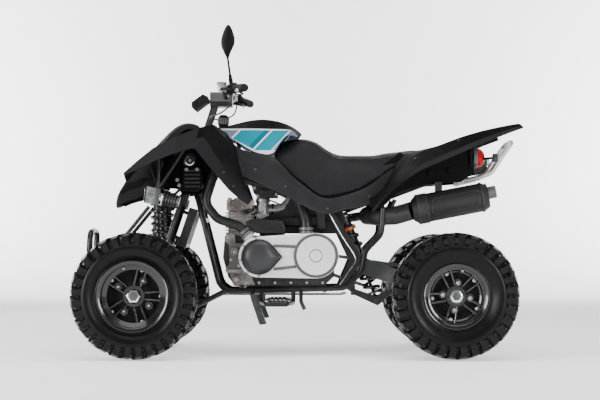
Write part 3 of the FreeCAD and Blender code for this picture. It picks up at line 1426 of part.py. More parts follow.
def build_rear_fender():
    stations = [
        [(-327, -216, 640), (-324, -245, 615), (-319, -272, 592), (-316, -270, 585)],
        [(-237, -206, 742), (-222, -262, 735), (-227, -365, 700), (-221, -375, 687)],
        [(-190, -192, 812), (-152, -290, 812), (-144, -415, 762), (-136, -428, 746)],
        [(-110, -172, 842), (-77, -330, 842), (-60, -438, 800), (-50, -450, 784)],
        [(-2, -170, 868), (28, -370, 880), (36, -440, 842), (47, -450, 827)],
        [(118, -180, 900), (143, -380, 912), (146, -430, 885), (153, -438, 872)],
        [(214, -250, 922), (261, -385, 934), (271, -400, 925), (274, -402, 918)],
    ]
    grid = [[rear(*point) for point in line] for line in stations]
    side = panel(grid, D.panel_wall)
    deck_lines = [(-112, 172, 841), (-2, 171, 867.5), (110, 182, 897.5), (150, 150, 900)]
    deck_grid = [[rear(x, -y, z), rear(x, 0, z + 4), rear(x, y, z)] for x, y, z in deck_lines]
    deck = panel(deck_grid, D.panel_wall)
    add("rear_fender", fused([side, mirrored(side), deck]), clear_of=["seat", "side_panels"])


def build_battery_tray():
    """Black box between the tail rails, on two cross bars."""
    box = prism([(372, 668), (540, 731), (646, 758), (646, 806), (520, 800), (470, 790), (400, 742)],
                -D.tray_half_width, D.tray_half_width)
    solids = [box]
    half = D.top_tube_half_width
    for x, z in ((420, 684), (600, 744)):
        solids.append(rod(Vector(x, -half, z), Vector(x, half, z), 7))
    add("battery_tray", fused(solids), clear_of=["upper_frame"])


def build_tail_bracket():
    body = new_body("tail_bracket")
    outline = [(30, 745), (150, 748), (172, 776), (150, 800), (110, 796), (100, 770), (30, 770)]
    section = new_sketch(body, "tail_bracket_outline", "XZ_Plane",
                         [(REAR_AXLE_X + x, z) for x, z in outline])
    new_pad(body, "tail_bracket_block", section, "Sizes.top_tube_half_width * 2 - 40",
            midplane=True)


def build_tail():
    stays = []
    for side in (LEFT, RIGHT):
        stays.append(block(rear(98, side * 85 - 27, 788), rear(111, side * 85 + 27, 802)))
        stays.append(block(rear(88, min(side * 60, side * 165), 790),
                           rear(110.7, max(side * 60, side * 165), 846)))
        stays.append(rod(rear(99, side * 150, 806), rear(185, side * 200, 810), 5))
        stays[-1] = stays[-1].fuse(rod(rear(176, side * 200, 810), rear(196, side * 200, 810), 17))
    lamps = []
    for side in (LEFT, RIGHT):
        sections = []
        for offset, height, width in ((0, 38, 34), (16, 38, 34), (28, 30, 28), (36, 14, 16)):
            ring = []
            for k in range(12):
                angle = 2 * math.pi * k / 12
                ring.append(rear(111 + offset, side * 150 + width * math.cos(angle),
                                 812 + height * math.sin(angle)))
            sections.append(ring)
        lamps.append(loft(sections))
    add("tail_lamps", Part.makeCompound(lamps), clear_of=["tail_bracket"])
    add("tail_stays", fused([solid for solid in stays]), clear_of=["tail_bracket", "tail_lamps"])
    half = 110
    left = [rear(50, -half, 714), rear(127, -half, 731), rear(182, -half, 755),
            rear(220, -half, 815), rear(260, -half, 872)]
    right = [Vector(p.x, -p.y, p.z) for p in left]
    top = [rear(266, -half + 30, 880), rear(266, half - 30, 880)]
    bar = tube(left + top + right[::-1], 11, 40)
    foot = block(rear(44, -half - 12, 704), rear(64, -D.top_tube_half_width, 740))
    add("grab_bar", fused([bar, foot, mirrored(foot)]),
        clear_of=["upper_frame", "tail_bracket", "tail_stays", "silencer"])


def build_headlamps():
    """Left and right lamps under the nose: box, bright ring and rear boot."""
    y = -D.headlamp_y
    half = 42
    top, _foot = shock_points(LEFT)
    housing = prism([(-607, 690), (-553, 677), (-563, 610), (-616, 623)], y - half, y + half)
    ring = rod(Vector(-564, y, 648), Vector(-542, y, 643), 35)
    boot = rod(Vector(-543, y, 643), Vector(-480, y, 627), 31, 22)
    ear = rod(Vector(top.x, y + half - 4, top.z + 23), Vector(top.x, top.y + 10, top.z + 23), 6)
    add("headlamps", pair(fused([housing, ring, boot, ear])), clear_of=["front_frame", "front_shocks"])


def build_footrests():
    half = D.frame_half_width
    peg = block(Vector(-132, -345, 205), Vector(-42, -188, 212))
    frame_front = tube([Vector(-150, -half, 262), Vector(-150, -half - 20, 215),
                        Vector(-128, -335, 215), Vector(-46, -335, 215),
                        Vector(-20, -half - 20, 215), Vector(-20, -half, 262)], 9, 20)
    pedal = tube([Vector(-187, -half, 262), Vector(-187, -262, 245), Vector(-148, -262, 131)], 9, 25)
    short = tube([Vector(12, -half, 268), Vector(12, -222, 222), Vector(27, -222, 189)], 8, 15)
    parts = [peg, frame_front]
    for k in range(5):
        x = -126 + k * 18
        parts.append(block(Vector(x, -330, 212), Vector(x + 5, -200, 222)))
    left = fused(parts + [pedal, short])
    right = mirrored(fused(parts))
    add("footrests", Part.makeCompound([left, right]), clear_of=["lower_frame", "skid_plate"])


def write_parts():
    """Check every object and write one STEP file for each sub-part."""
    DOC.recompute()
    for item in DOC.Objects:
        if {"Invalid", "Error"} & set(item.State):
            raise RuntimeError(f"{item.Label} failed: {item.State}")
    for label, piece in PIECES.items():
        shape = piece.Shape
        if shape.isNull() or not shape.isValid() or not shape.Solids:
            raise RuntimeError(f"{label} has no valid solid")
        shape.exportStep(f"parts/{label}.step")


build_front_fender()
build_nose_cowl()
build_tank_cover()
build_seat()
build_side_panels()
build_rear_fender()
build_frame()
build_front_wheels()
build_rear_axle()
build_front_suspension()
build_front_frame()
build_steering()
build_controls()
build_cables()
build_instrument_pod()
build_tail_bracket()
build_upper_frame()
build_battery_tray()
build_bumper()
build_skid_plate()
build_crankcase()
build_cylinder()
build_belt_cover()
build_variator_cap()
build_ducts()
build_airbox()
build_carburettor()
build_exhaust()
build_radiator()
build_swingarm()
build_linkage()
build_chain()
build_tail()
build_headlamps()
build_footrests()
write_parts()
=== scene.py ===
from math import acos, atan2, copysign, cos, hypot, pi, radians, sin

import bmesh
import bpy
from bpy.props import FloatProperty, FloatVectorProperty, IntProperty, PointerProperty
from bpy.types import Operator, Panel, PropertyGroup
from mathutils import Matrix, Vector


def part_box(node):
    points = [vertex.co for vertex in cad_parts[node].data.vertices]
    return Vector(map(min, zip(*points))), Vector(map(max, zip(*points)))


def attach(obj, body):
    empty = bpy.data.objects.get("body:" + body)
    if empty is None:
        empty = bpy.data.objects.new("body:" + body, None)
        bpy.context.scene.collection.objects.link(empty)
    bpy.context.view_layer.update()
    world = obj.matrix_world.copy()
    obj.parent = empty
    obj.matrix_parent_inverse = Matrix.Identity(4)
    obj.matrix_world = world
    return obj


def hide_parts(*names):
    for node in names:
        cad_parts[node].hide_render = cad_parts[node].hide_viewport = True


bl_info = {
    "name": "Quad bike dressing",
    "version": (1, 0, 0),
    "blender": (4, 5, 0),
    "location": "View3D > Sidebar > Quad bike",
    "description": "Finishes and detail pieces for a sport quad bike",
    "category": "Object",
}

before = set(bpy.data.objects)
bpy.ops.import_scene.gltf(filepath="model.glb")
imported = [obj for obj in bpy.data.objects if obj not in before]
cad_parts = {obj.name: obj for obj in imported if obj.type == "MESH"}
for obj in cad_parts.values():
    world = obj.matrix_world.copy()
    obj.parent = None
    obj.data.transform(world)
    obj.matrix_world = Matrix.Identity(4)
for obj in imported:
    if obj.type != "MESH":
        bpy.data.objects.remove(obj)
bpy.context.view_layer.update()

LEFT, RIGHT = -1, 1
SIDES = ((LEFT, "left"), (RIGHT, "right"))
MM = 0.001


def placed(name, data):
    """A new object in the scene."""
    made = bpy.data.objects.new(name, data)
    bpy.context.scene.collection.objects.link(made)
    return made


def node_centre(node):
    """Middle of a node's box at rest."""
    low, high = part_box(node)
    return (low + high) / 2


# Finishes


class Finish:
    """The node tree of one material, with its shader and object coordinates at hand."""

    def __init__(self, name):
        self.material = bpy.data.materials.new(name)
        self.material.use_nodes = True
        self.tree = self.material.node_tree
        self.shader = self.tree.nodes["Principled BSDF"]
        self.place = self.tree.nodes.new("ShaderNodeTexCoord").outputs["Object"]

    def node(self, kind, **inputs):
        """A new node, its inputs set or linked by name."""
        made = self.tree.nodes.new(kind)
        for name, value in inputs.items():
            self.feed(made.inputs[name.replace("_", " ")], value)
        return made

    def feed(self, socket, value):
        """Links a socket to another one, or gives it a value."""
        if isinstance(value, bpy.types.NodeSocket):
            self.tree.links.new(value, socket)
        else:
            socket.default_value = value

    def paint(self, colour):
        """Gives the surface its colour."""
        self.feed(self.shader.inputs["Base Color"], colour)

    def emboss(self, height, depth, below=None):
        """Gives the surface a relief that is so many millimetres deep."""
        self.feed(self.shader.inputs["Normal"], self.relief(height, depth, below))

    def level(self, **values):
        """Sets plain values on the shader, by name with _ for a space."""
        for name, value in values.items():
            self.shader.inputs[name.replace("_", " ")].default_value = value

    def noise(self, scale, detail=3.0, stretch=None):
        """Cloudy noise over the piece; stretch scales it along each axis."""
        made = self.node("ShaderNodeTexNoise", Scale=scale, Detail=detail)
        where = self.place
        if stretch:
            moved = self.node("ShaderNodeMapping", Scale=stretch)
            self.feed(moved.inputs["Vector"], self.place)
            where = moved.outputs["Vector"]
        self.feed(made.inputs["Vector"], where)
        return made.outputs["Fac"]

    def cells(self, scale, feature="DISTANCE_TO_EDGE"):
        """Distances in a pattern of cells."""
        made = self.node("ShaderNodeTexVoronoi", Scale=scale)
        made.feature = feature
        self.feed(made.inputs["Vector"], self.place)
        return made.outputs["Distance"]

    def steps(self, value, stops, mode="LINEAR"):
        """A ramp of (position, grey or colour) stops."""
        made = self.node("ShaderNodeValToRGB", Fac=value)
        made.color_ramp.interpolation = mode
        points = made.color_ramp.elements
        while len(points) < len(stops):
            points.new(0.5)
        for point, (at, colour) in zip(points, stops):
            point.position = at
            point.color = (colour,) * 3 + (1,) if isinstance(colour, float) else (*colour, 1)
        return made.outputs["Color"]

    def blend(self, share, first, second):
        """Two colours mixed by a share."""
        made = self.tree.nodes.new("ShaderNodeMix")
        made.data_type = "RGBA"
        self.feed(made.inputs["Factor"], share)
        for socket, value in (("A_Color", first), ("B_Color", second)):
            target = next(s for s in made.inputs if s.identifier == socket)
            self.feed(target, (*value, 1) if isinstance(value, tuple) else value)
        return next(s for s in made.outputs if s.identifier == "Result_Color")

    def sum(self, kind, first, second=0.0):
        """Two numbers put together by a kind of sum."""
        made = self.tree.nodes.new("ShaderNodeMath")
        made.operation = kind
        self.feed(made.inputs[0], first)
        self.feed(made.inputs[1], second)
        return made.outputs[0]

    def parts(self, vector):
        """A vector's X, Y and Z."""
        made = self.node("ShaderNodeSeparateXYZ", Vector=vector)
        return made.outputs["X"], made.outputs["Y"], made.outputs["Z"]

    def axes(self):
        """The piece's own X, Y and Z at a point."""
        return self.parts(self.place)

    def facing(self):
        """The outward direction of a face."""
        made = self.tree.nodes.new("ShaderNodeNewGeometry")
        return self.parts(made.outputs["Normal"])

    def edges(self):
        """High along worn outer edges."""
        made = self.tree.nodes.new("ShaderNodeNewGeometry")
        return self.steps(made.outputs["Pointiness"], [(0.53, 0.0), (0.6, 1.0)])

    def relief(self, height, depth, below=None):
        """The normal of a relief, laid over another one if that is given."""
        made = self.node("ShaderNodeBump", Height=height, Distance=depth * MM, Strength=1.0)
        if below is not None:
            self.feed(made.inputs["Normal"], below)
        return made.outputs["Normal"]


def surface(name, colour, rough, metal=0.0, grain=(900.0, 0.1), blotch=(14.0, 0.25), worn=None,
            coat=0.0, gloss=0.5):
    """A finish with uneven colour and roughness, a fine grain and paler worn edges."""
    look = Finish(name)
    scale, amount = blotch
    pale = tuple(min(1.0, c * (1 + amount)) for c in colour)
    deep = tuple(c * (1 - amount) for c in colour)
    tone = look.blend(look.noise(scale), deep, pale)
    if worn:
        patches = look.steps(look.noise(60.0), [(0.35, 0.2), (0.7, 0.9)])
        tone = look.blend(look.sum("MULTIPLY", look.edges(), patches), tone, worn)
    look.paint(tone)
    smooth, dull = max(0.02, rough - 0.07), min(1.0, rough + 0.09)
    spread = look.steps(look.noise(scale * 2.7, 5.0), [(0.3, smooth), (0.75, dull)])
    look.feed(look.shader.inputs["Roughness"], spread)
    look.level(Metallic=metal, Specular_IOR_Level=gloss, Coat_Weight=coat, Coat_Roughness=0.06)
    grain_scale, depth = grain
    look.emboss(look.noise(grain_scale, 2.0), depth)
    return look


# Each row: base colour, roughness, and what departs from surface()'s defaults.
PLAIN_FINISHES = {
    "moulded black": ((0.0062, 0.0062, 0.0067), 0.62, dict(
        grain=(1100.0, 0.12), worn=(0.018, 0.018, 0.019), gloss=0.03)),
    "charcoal plastic": ((0.018, 0.018, 0.0188), 0.6, dict(
        grain=(1100.0, 0.12), worn=(0.035, 0.035, 0.036), gloss=0.05)),
    "gloss black": ((0.0035, 0.0035, 0.004), 0.2, dict(
        grain=(300.0, 0.02), coat=0.35, blotch=(20.0, 0.2), worn=(0.03, 0.03, 0.03), gloss=0.4)),
    "powder black": ((0.006, 0.006, 0.0065), 0.36, dict(
        grain=(600.0, 0.1), worn=(0.04, 0.04, 0.04), gloss=0.35)),
    "heatproof black": ((0.021, 0.021, 0.0215), 0.52, dict(
        metal=0.15, grain=(1500.0, 0.15), worn=(0.06, 0.06, 0.06), gloss=0.25)),
    "tyre rubber": ((0.0034, 0.0034, 0.0034), 0.34, dict(
        grain=(800.0, 0.08), blotch=(9.0, 0.35), worn=(0.011, 0.011, 0.0105), gloss=0.13)),
    "hose rubber": ((0.006, 0.006, 0.0065), 0.42, dict(
        grain=(700.0, 0.1), blotch=(30.0, 0.3), gloss=0.35)),
    "grip rubber": ((0.0035, 0.0035, 0.0038), 0.55, dict(
        grain=(700.0, 0.1), blotch=(30.0, 0.3), gloss=0.12)),
    "lamp shell": ((0.11, 0.11, 0.112), 0.3, dict(
        metal=0.75, grain=(500.0, 0.08), blotch=(40.0, 0.35), worn=(0.4, 0.4, 0.4))),
    "cap plastic": ((0.022, 0.022, 0.023), 0.4, dict(
        grain=(900.0, 0.08), worn=(0.06, 0.06, 0.06), gloss=0.35)),
    "cast alloy": ((0.125, 0.107, 0.100), 0.5, dict(
        metal=0.35, grain=(420.0, 0.35), blotch=(26.0, 0.4), worn=(0.42, 0.39, 0.37))),
    "silver alloy": ((0.36, 0.355, 0.35), 0.34, dict(
        metal=0.7, grain=(500.0, 0.12), blotch=(30.0, 0.25), worn=(0.7, 0.7, 0.7))),
    "painted case": ((0.011, 0.011, 0.0112), 0.45, dict(
        grain=(420.0, 0.25), blotch=(20.0, 0.3), worn=(0.05, 0.05, 0.05), gloss=0.3)),
    "grey ring": ((0.05, 0.05, 0.052), 0.42, dict(
        metal=0.2, grain=(700.0, 0.1), worn=(0.14, 0.14, 0.14))),
    "dull steel": ((0.2, 0.2, 0.205), 0.36, dict(
        metal=0.95, grain=(500.0, 0.06), blotch=(40.0, 0.25))),
    "plated steel": ((0.45, 0.44, 0.42), 0.28, dict(
        metal=1.0, grain=(500.0, 0.05), blotch=(60.0, 0.15))),
    "satin rail": ((0.46, 0.46, 0.465), 0.42, dict(
        metal=0.8, grain=(500.0, 0.04), blotch=(20.0, 0.08))),
    "chrome": ((0.72, 0.72, 0.73), 0.09, dict(
        metal=1.0, grain=(200.0, 0.006), blotch=(12.0, 0.04))),
    "orange collar": ((0.5, 0.06, 0.006), 0.36, dict(grain=(500.0, 0.05), gloss=0.4)),
    "pale neck": ((0.42, 0.42, 0.41), 0.45, dict(grain=(500.0, 0.1))),
    "dark glass": ((0.004, 0.005, 0.006), 0.08, dict(grain=(200.0, 0.005), coat=0.5)),
    "mirror glass": ((0.6, 0.62, 0.65), 0.04, dict(
        metal=1.0, grain=(100.0, 0.001), blotch=(3.0, 0.03))),
}


def plain_finish(name):
    """A finish from the table above."""
    colour, rough, rest = PLAIN_FINISHES[name]
    return surface(name, colour, rough, **rest)


def cover_alloy():
    """Machined cover: brushed along the machine and slightly lacquered."""
    look = surface("brushed cover alloy", (0.72, 0.72, 0.73), 0.36, metal=0.3, grain=(260.0, 0.02),
                   blotch=(8.0, 0.05), worn=(0.85, 0.85, 0.85), coat=0.15)
    brushed = look.noise(120.0, 4.0, (1.0, 1.0, 14.0))
    look.emboss(brushed, 0.02)
    return look


def red_lens():
    """Deep red plastic with small facets."""
    look = surface("red lens", (0.36, 0.0012, 0.004), 0.24, grain=(300.0, 0.02), gloss=0.14)
    look.emboss(look.cells(260.0, "F1"), 0.5)
    return look


def fender_plastic():
    """Grained black plastic with painted light and shade: painted darker on faces turned up,
    painted paler on facets turned to the side.
    """
    look = surface("fender plastic", (0.006, 0.006, 0.0065), 0.62, grain=(1100.0, 0.12), gloss=0.03)
    # Painted light and shade: faces turned to the side get a paler tone as painted light, faces
    # turned up a darker tone as painted shade.
    _x, y, z = look.facing()
    painted_side_light = look.steps(look.sum("ABSOLUTE", y), [(0.62, 0.0), (0.72, 1.0)])
    painted_flank_light = look.blend(painted_side_light, (0.0062, 0.0062, 0.0067), (0.0150, 0.0150, 0.0158))
    top = look.steps(z, [(0.60, 0.0), (0.80, 1.0)])
    look.paint(look.blend(top, painted_flank_light, (0.0022, 0.0022, 0.0025)))
    return look


def clear_lens():
    """Clear plastic that lets some of the light through."""
    look = surface("clear lens", (0.5, 0.52, 0.55), 0.06, grain=(300.0, 0.01), coat=0.3)
    look.level(Transmission_Weight=0.6)
    return look


def cooler_core():
    """Fine upright fins, with the gaps between them painted dark as shade."""
    look = surface("cooler core", (0.06, 0.06, 0.062), 0.5, metal=0.4, grain=(900.0, 0.1))
    _x, y, _z = look.axes()
    fins = look.sum("PINGPONG", look.sum("MULTIPLY", y, 330.0), 1.0)
    # Painted shade: the gaps between the fins are given a much darker tone than the fins.
    look.paint(look.steps(fins, [(0.35, 0.006), (0.55, 0.035)]))
    look.emboss(fins, 0.8)
    return look


def seat_vinyl():
    """Grained vinyl: a net of shallow creases over fine pores."""
    look = surface("seat vinyl", (0.0078, 0.0078, 0.0086), 0.52, blotch=(7.0, 0.18), gloss=0.14)
    pores = look.noise(1800.0, 2.0)
    net = look.relief(look.steps(look.cells(520.0), [(0.0, 0.0), (0.09, 1.0)]), 0.16)
    look.emboss(pores, 0.05, net)
    return look


# The tank's bands: their slope, where they start along it and how much of it they take, and the
# picture's lower edge, its edge under the nose, its top, its border and how far out it begins.
BAND_SLOPE, BAND_START, BAND_SCALE = 0.9, 1.14, 2.6
PICTURE_SILL, PICTURE_NOSE, NOSE_SLOPE, PICTURE_TOP = 0.834, 0.742, 0.526, 0.934
PICTURE_BORDER, PICTURE_INSIDE = 0.007, 0.112


def tank_graphic():
    """Slanted bands of teal and slate inside a thin white border, on matt black plastic."""
    settings = bpy.context.scene.quad_colours
    look = surface("tank graphic", (0.005, 0.005, 0.006), 0.56, grain=(900.0, 0.05), gloss=0.04)
    x, y, z = look.axes()
    black, white = (0.0048, 0.0048, 0.0053), tuple(settings.stripe_white)
    teal, slate = tuple(settings.stripe_teal), tuple(settings.stripe_slate)
    deep = tuple(c * 0.6 for c in teal)
    slant = look.sum("ADD", x, look.sum("MULTIPLY", z, -BAND_SLOPE))
    along = look.sum("MULTIPLY", look.sum("ADD", slant, BAND_START), BAND_SCALE)
    bands = look.steps(along, [
        (0.0, slate), (0.16, white), (0.18, teal), (0.43, deep), (0.50, white), (0.52, teal),
        (0.70, white), (0.72, slate)], "CONSTANT")
    above_sill = look.sum("SUBTRACT", z, PICTURE_SILL)
    above_nose = look.sum(
        "ADD", look.sum("SUBTRACT", z, PICTURE_NOSE), look.sum("MULTIPLY", x, NOSE_SLOPE))
    below_top = look.sum("SUBTRACT", PICTURE_TOP, z)
    margin = look.sum("MINIMUM", look.sum("MINIMUM", above_sill, above_nose), below_top)
    inside = look.sum("GREATER_THAN", margin, PICTURE_BORDER)
    side = look.sum("GREATER_THAN", look.sum("ABSOLUTE", y), PICTURE_INSIDE)
    shown = look.sum("MULTIPLY", side, look.sum("GREATER_THAN", below_top, 0.0))
    framed = look.blend(inside, white, bands)
    look.paint(look.blend(shown, black, framed))
    return look


CLAMP_FOOT = 1.055


def stem_paint():
    """Black stem below, bare clamp above."""
    black = (0.006, 0.006, 0.0065)
    look = surface("stem and clamp", black, 0.4, grain=(600.0, 0.1), gloss=0.35)
    _x, _y, z = look.axes()
    bare = look.blend(look.noise(30.0), (0.035, 0.035, 0.035), (0.09, 0.089, 0.088))
    look.paint(look.blend(look.sum("GREATER_THAN", z, CLAMP_FOOT), black, bare))
    return look


def studio_paper():
    """Matt white paper that glows faintly, so that its far end stays pale."""
    look = surface(
        "studio paper", (0.9, 0.9, 0.9), 0.95, grain=(50.0, 0.05), blotch=(0.4, 0.01), gloss=0.1)
    look.level(Emission_Color=(1.0, 1.0, 1.0, 1.0), Emission_Strength=0.68)
    return look


SPECIAL_FINISHES = {
    "stem and clamp": stem_paint, "studio paper": studio_paper,
    "brushed cover alloy": cover_alloy, "red lens": red_lens, "clear lens": clear_lens,
    "cooler core": cooler_core, "seat vinyl": seat_vinyl, "tank graphic": tank_graphic,
    "fender plastic": fender_plastic,
}


def finish(name):
    """The material of that name, made the first time it is asked for."""
    found = bpy.data.materials.get(name)
    if found:
        return found
    made = SPECIAL_FINISHES[name]() if name in SPECIAL_FINISHES else plain_finish(name)
    return made.material


# Shapes


class Shape:
    """A mesh under construction, in metres."""

    def __init__(self):
        self.mesh = bmesh.new()

    def grid(self, rings, close_ring=True, close_ends=False, cap=False):
        """Faces over rows of points of equal length."""
        rows = [[self.mesh.verts.new(p) for p in ring] for ring in rings]
        pairs = list(zip(rows, rows[1:] + rows[:1] if close_ends else rows[1:]))
        for a, b in pairs:
            count = len(a)
            for k in range(count if close_ring else count - 1):
                n = (k + 1) % count
                self.mesh.faces.new((a[k], a[n], b[n], b[k]))
        if cap:
            self.mesh.faces.new(rows[0][::-1])
            self.mesh.faces.new(rows[-1])
        return rows

    def lathe(self, profile, steps, to_world, closed=False, cap=False):
        """A profile of (along, radius) points turned about an axis."""
        rings = [[to_world @ around(radius, angle, along) for angle in turns(steps)]
                 for along, radius in profile]
        return self.grid(rings, close_ends=closed, cap=cap)

    def band(self, start, end, inner, outer, to_world, steps=32):
        """A plain ring from start to end along an axis."""
        return self.lathe([(start, inner), (start, outer), (end, outer), (end, inner)], steps,
                          to_world, closed=True)

    def slab(self, outline, base, top, chamfer=0.0012):
        """An outline of (x, z) points raised from one y to another, with a chamfered face."""
        middle = Vector((sum(x for x, _z in outline), sum(z for _x, z in outline))) / len(outline)
        way = copysign(1, top - base)
        rings = []
        for y, inset in ((base, 0.0), (top - way * chamfer, 0.0), (top, chamfer)):
            ring = []
            for x, z in outline:
                inward = (middle - Vector((x, z))).normalized() * inset * 1.3
                ring.append(Vector((x + inward.x, y, z + inward.y)))
            rings.append(ring)
        return self.grid(rings, cap=True)

    def brick(self, middle, halves, turn=None):
        """A block by its middle and half sizes, turned about its middle."""
        turn = turn or Matrix.Identity(3)
        rings = [[Vector(middle) + turn @ Vector((a * halves[0], b * halves[1], c * halves[2]))
                  for a, b in ((-1, -1), (1, -1), (1, 1), (-1, 1))] for c in (-1, 1)]
        return self.grid(rings, cap=True)

    def pipe(self, points, radius, steps=14, cap=True, smooth=6):
        """A round pipe through points; radius may be a function of the share along it."""
        line = flowing(points, smooth) if smooth > 1 else [Vector(p) for p in points]
        aside = None
        rings = []
        for k, here in enumerate(line):
            ahead = (line[min(k + 1, len(line) - 1)] - line[max(k - 1, 0)]).normalized()
            if aside is None:
                aside = ahead.orthogonal().normalized()
            aside = (aside - ahead * aside.dot(ahead)).normalized()
            across = ahead.cross(aside)
            reach = radius(k / (len(line) - 1)) if callable(radius) else radius
            rings.append([here + (aside * cos(a) + across * sin(a)) * reach for a in turns(steps)])
        return self.grid(rings, cap=cap)

    def coil(self, foot, top, coil_radius, wire_radius, count, steps=26):
        """A helical spring between two points."""
        foot, top = Vector(foot), Vector(top)
        world = along_axis(foot, top - foot)
        length = (top - foot).length
        total = int(count * steps)
        line = [world @ around(coil_radius, 2 * pi * k / steps, length * k / total)
                for k in range(total + 1)]
        return self.pipe(line, wire_radius, 10, smooth=1)

    def object(self, name, look, crease):
        """Closes the shape into a piece with its finish; crease is the angle of a sharp edge."""
        bmesh.ops.recalc_face_normals(self.mesh, faces=self.mesh.faces)
        data = bpy.data.meshes.new(name)
        self.mesh.to_mesh(data)
        self.mesh.free()
        data.materials.append(finish(look))
        data.shade_smooth()
        data.set_sharp_from_angle(angle=crease)
        return placed(name, data)


def turns(count, start=0.0):
    """Evenly spaced angles of a full turn."""
    return [start + 2 * pi * k / count for k in range(count)]


def around(radius, angle, along=0.0):
    """A point at an angle from +X towards +Z, and some way along Y."""
    return Vector((radius * cos(angle), along, radius * sin(angle)))


def flowing(points, steps):
    """A smooth line through points."""
    points = [Vector(p) for p in points]
    ends = [points[0] * 2 - points[1]] + points + [points[-1] * 2 - points[-2]]
    line = []
    for a, b, c, d in zip(ends, ends[1:], ends[2:], ends[3:]):
        for k in range(steps):
            t = k / steps
            line.append(0.5 * (2 * b + (c - a) * t + (2 * a - 5 * b + 4 * c - d) * t ** 2
                               + (3 * b - a - 3 * c + d) * t ** 3))
    return line + [points[-1]]


def round_bar(first, last, radius, steps=8):
    """Outline of a bar with round ends between two (x, z) points."""
    first, last = Vector(first), Vector(last)
    lean = atan2(last.y - first.y, last.x - first.x)
    outline = []
    for centre, start in ((last, lean - pi / 2), (first, lean + pi / 2)):
        for k in range(steps + 1):
            angle = start + pi * k / steps
            outline.append((centre.x + radius * cos(angle), centre.y + radius * sin(angle)))
    return outline


def on_surface(name, x, z, side):
    """Where a level look from a side first meets a node or piece, and the outward normal there."""
    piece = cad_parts.get(name) or bpy.data.objects[name]
    hit, place, normal, _index = piece.ray_cast(Vector((x, side * 0.9, z)), Vector((0, -side, 0)))
    if not hit:
        raise RuntimeError(f"{name} has no surface at x {x} z {z}")
    return place, normal if normal.y * side > 0 else -normal


def along_axis(origin, direction):
    """Turns +Y onto a direction at an origin."""
    turn = Vector((0, 1, 0)).rotation_difference(Vector(direction)).to_matrix().to_4x4()
    return Matrix.Translation(Vector(origin)) @ turn


def knob(shape, place, out, profile, steps=20):
    """A small turned piece standing on a face: (height, radius) pairs from its foot."""
    shape.lathe(profile, steps, along_axis(place, out), cap=True)


def bolt(shape, place, out, width, height):
    """A washer and a chamfered six-sided head."""
    knob(shape, place, out, ((-0.001, width * 0.72), (height * 0.18, width * 0.72)))
    knob(shape, place, out, (
        (0.0, width * 0.56), (height * 0.85, width * 0.56), (height, width * 0.44)), 6)


def bevelled(made, width, segments=2):
    """Rounds a piece's sharp edges."""
    modifier = made.modifiers.new("edge", "BEVEL")
    modifier.width = width
    modifier.segments = segments
    modifier.limit_method = "ANGLE"
    modifier.angle_limit = radians(32)
    return made


def carried(made, body, replaces=()):
    """Rides a piece on its body and the nodes that it stands for."""
    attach(made, body)
    if replaces:
        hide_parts(*replaces)
    return made


def fitted(shape, name, look, body="root", crease=0.5, bevel=0.0, replaces=()):
    """Makes a piece of a shape, rounds its edges and rides it on its body."""
    made = shape.object(name, look, crease)
    if bevel:
        bevelled(made, bevel)
    return carried(made, body, replaces)


# Wheels


class TyreSettings(PropertyGroup):
    lugs: IntProperty(
        name="Lugs", description="Blocks round each shoulder", default=32, min=12, max=48)
    lug_height: FloatProperty(
        name="Lug height", description="Depth of the tread", default=0.012, unit="LENGTH")
    steps: IntProperty(
        name="Steps", description="Steps round the carcass", default=128, min=48, max=256)


class WheelKind:
    """Sizes of a front or rear wheel, read from its nodes."""

    def __init__(self, end, word):
        self.end, self.word = end, word
        self.tyre, self.rim = f"{end}_tyre_{word}", f"{end}_rim_{word}"
        low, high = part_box(self.tyre)
        rim_low, rim_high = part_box(self.rim)
        self.radius = (high.x - low.x) / 2
        self.half = (high.y - low.y) / 2
        self.centre = node_centre(self.tyre)
        self.centre.z = self.radius
        self.lip = (rim_high.x - rim_low.x) / 2
        self.rim_half = (rim_high.y - rim_low.y) / 2
        self.rib = self.lip + (self.radius - self.lip) * 0.60
        self.side = LEFT if word == "left" else RIGHT
        self.body = f"front_wheel_{word}" if end == "front" else "rear_axle"
        outboard = Matrix.Rotation(pi if self.side == LEFT else 0.0, 4, "Z")
        self.world = Matrix.Translation(self.centre) @ outboard


WHEELS = [WheelKind(end, word) for end in ("front", "rear") for _side, word in SIDES]
FRONT_AXLE_X, REAR_AXLE_X = WHEELS[0].centre.x, WHEELS[2].centre.x


def carcass_profile(wheel, height):
    """Half section from the bead out to the crown, then back down the far side."""
    base = wheel.radius - height
    half, lip = wheel.half, wheel.lip
    bulge = lip + (wheel.radius - lip) * 0.42
    rib = wheel.rib
    swell = [(wheel.rim_half - 0.016, lip - 0.016), (wheel.rim_half - 0.004, lip - 0.001),
             (half - 0.020, lip + 0.008), (half - 0.006, bulge - 0.018), (half - 0.0005, bulge),
             (half - 0.004, bulge + 0.013), (half - 0.010, rib - 0.002)]
    side = [tuple(point.xy) for point in flowing([(y, r, 0) for y, r in swell], 4)]
    shoulder = [(half - 0.0078, rib), (half - 0.0078, rib + 0.003), (half - 0.0125, rib + 0.005),
                (half - 0.020, base - 0.026), (half - 0.030, base - 0.010),
                (half - 0.052, base - 0.003), (half * 0.30, base), (0.0, base + 0.001)]
    near = side + shoulder
    return near + [(-y, r) for y, r in near[-2::-1]]


def tread_point(world, turn, y, radius):
    """A point of a tyre: turn runs from +Z towards +X."""
    return world @ Vector((radius * sin(turn), y, radius * cos(turn)))


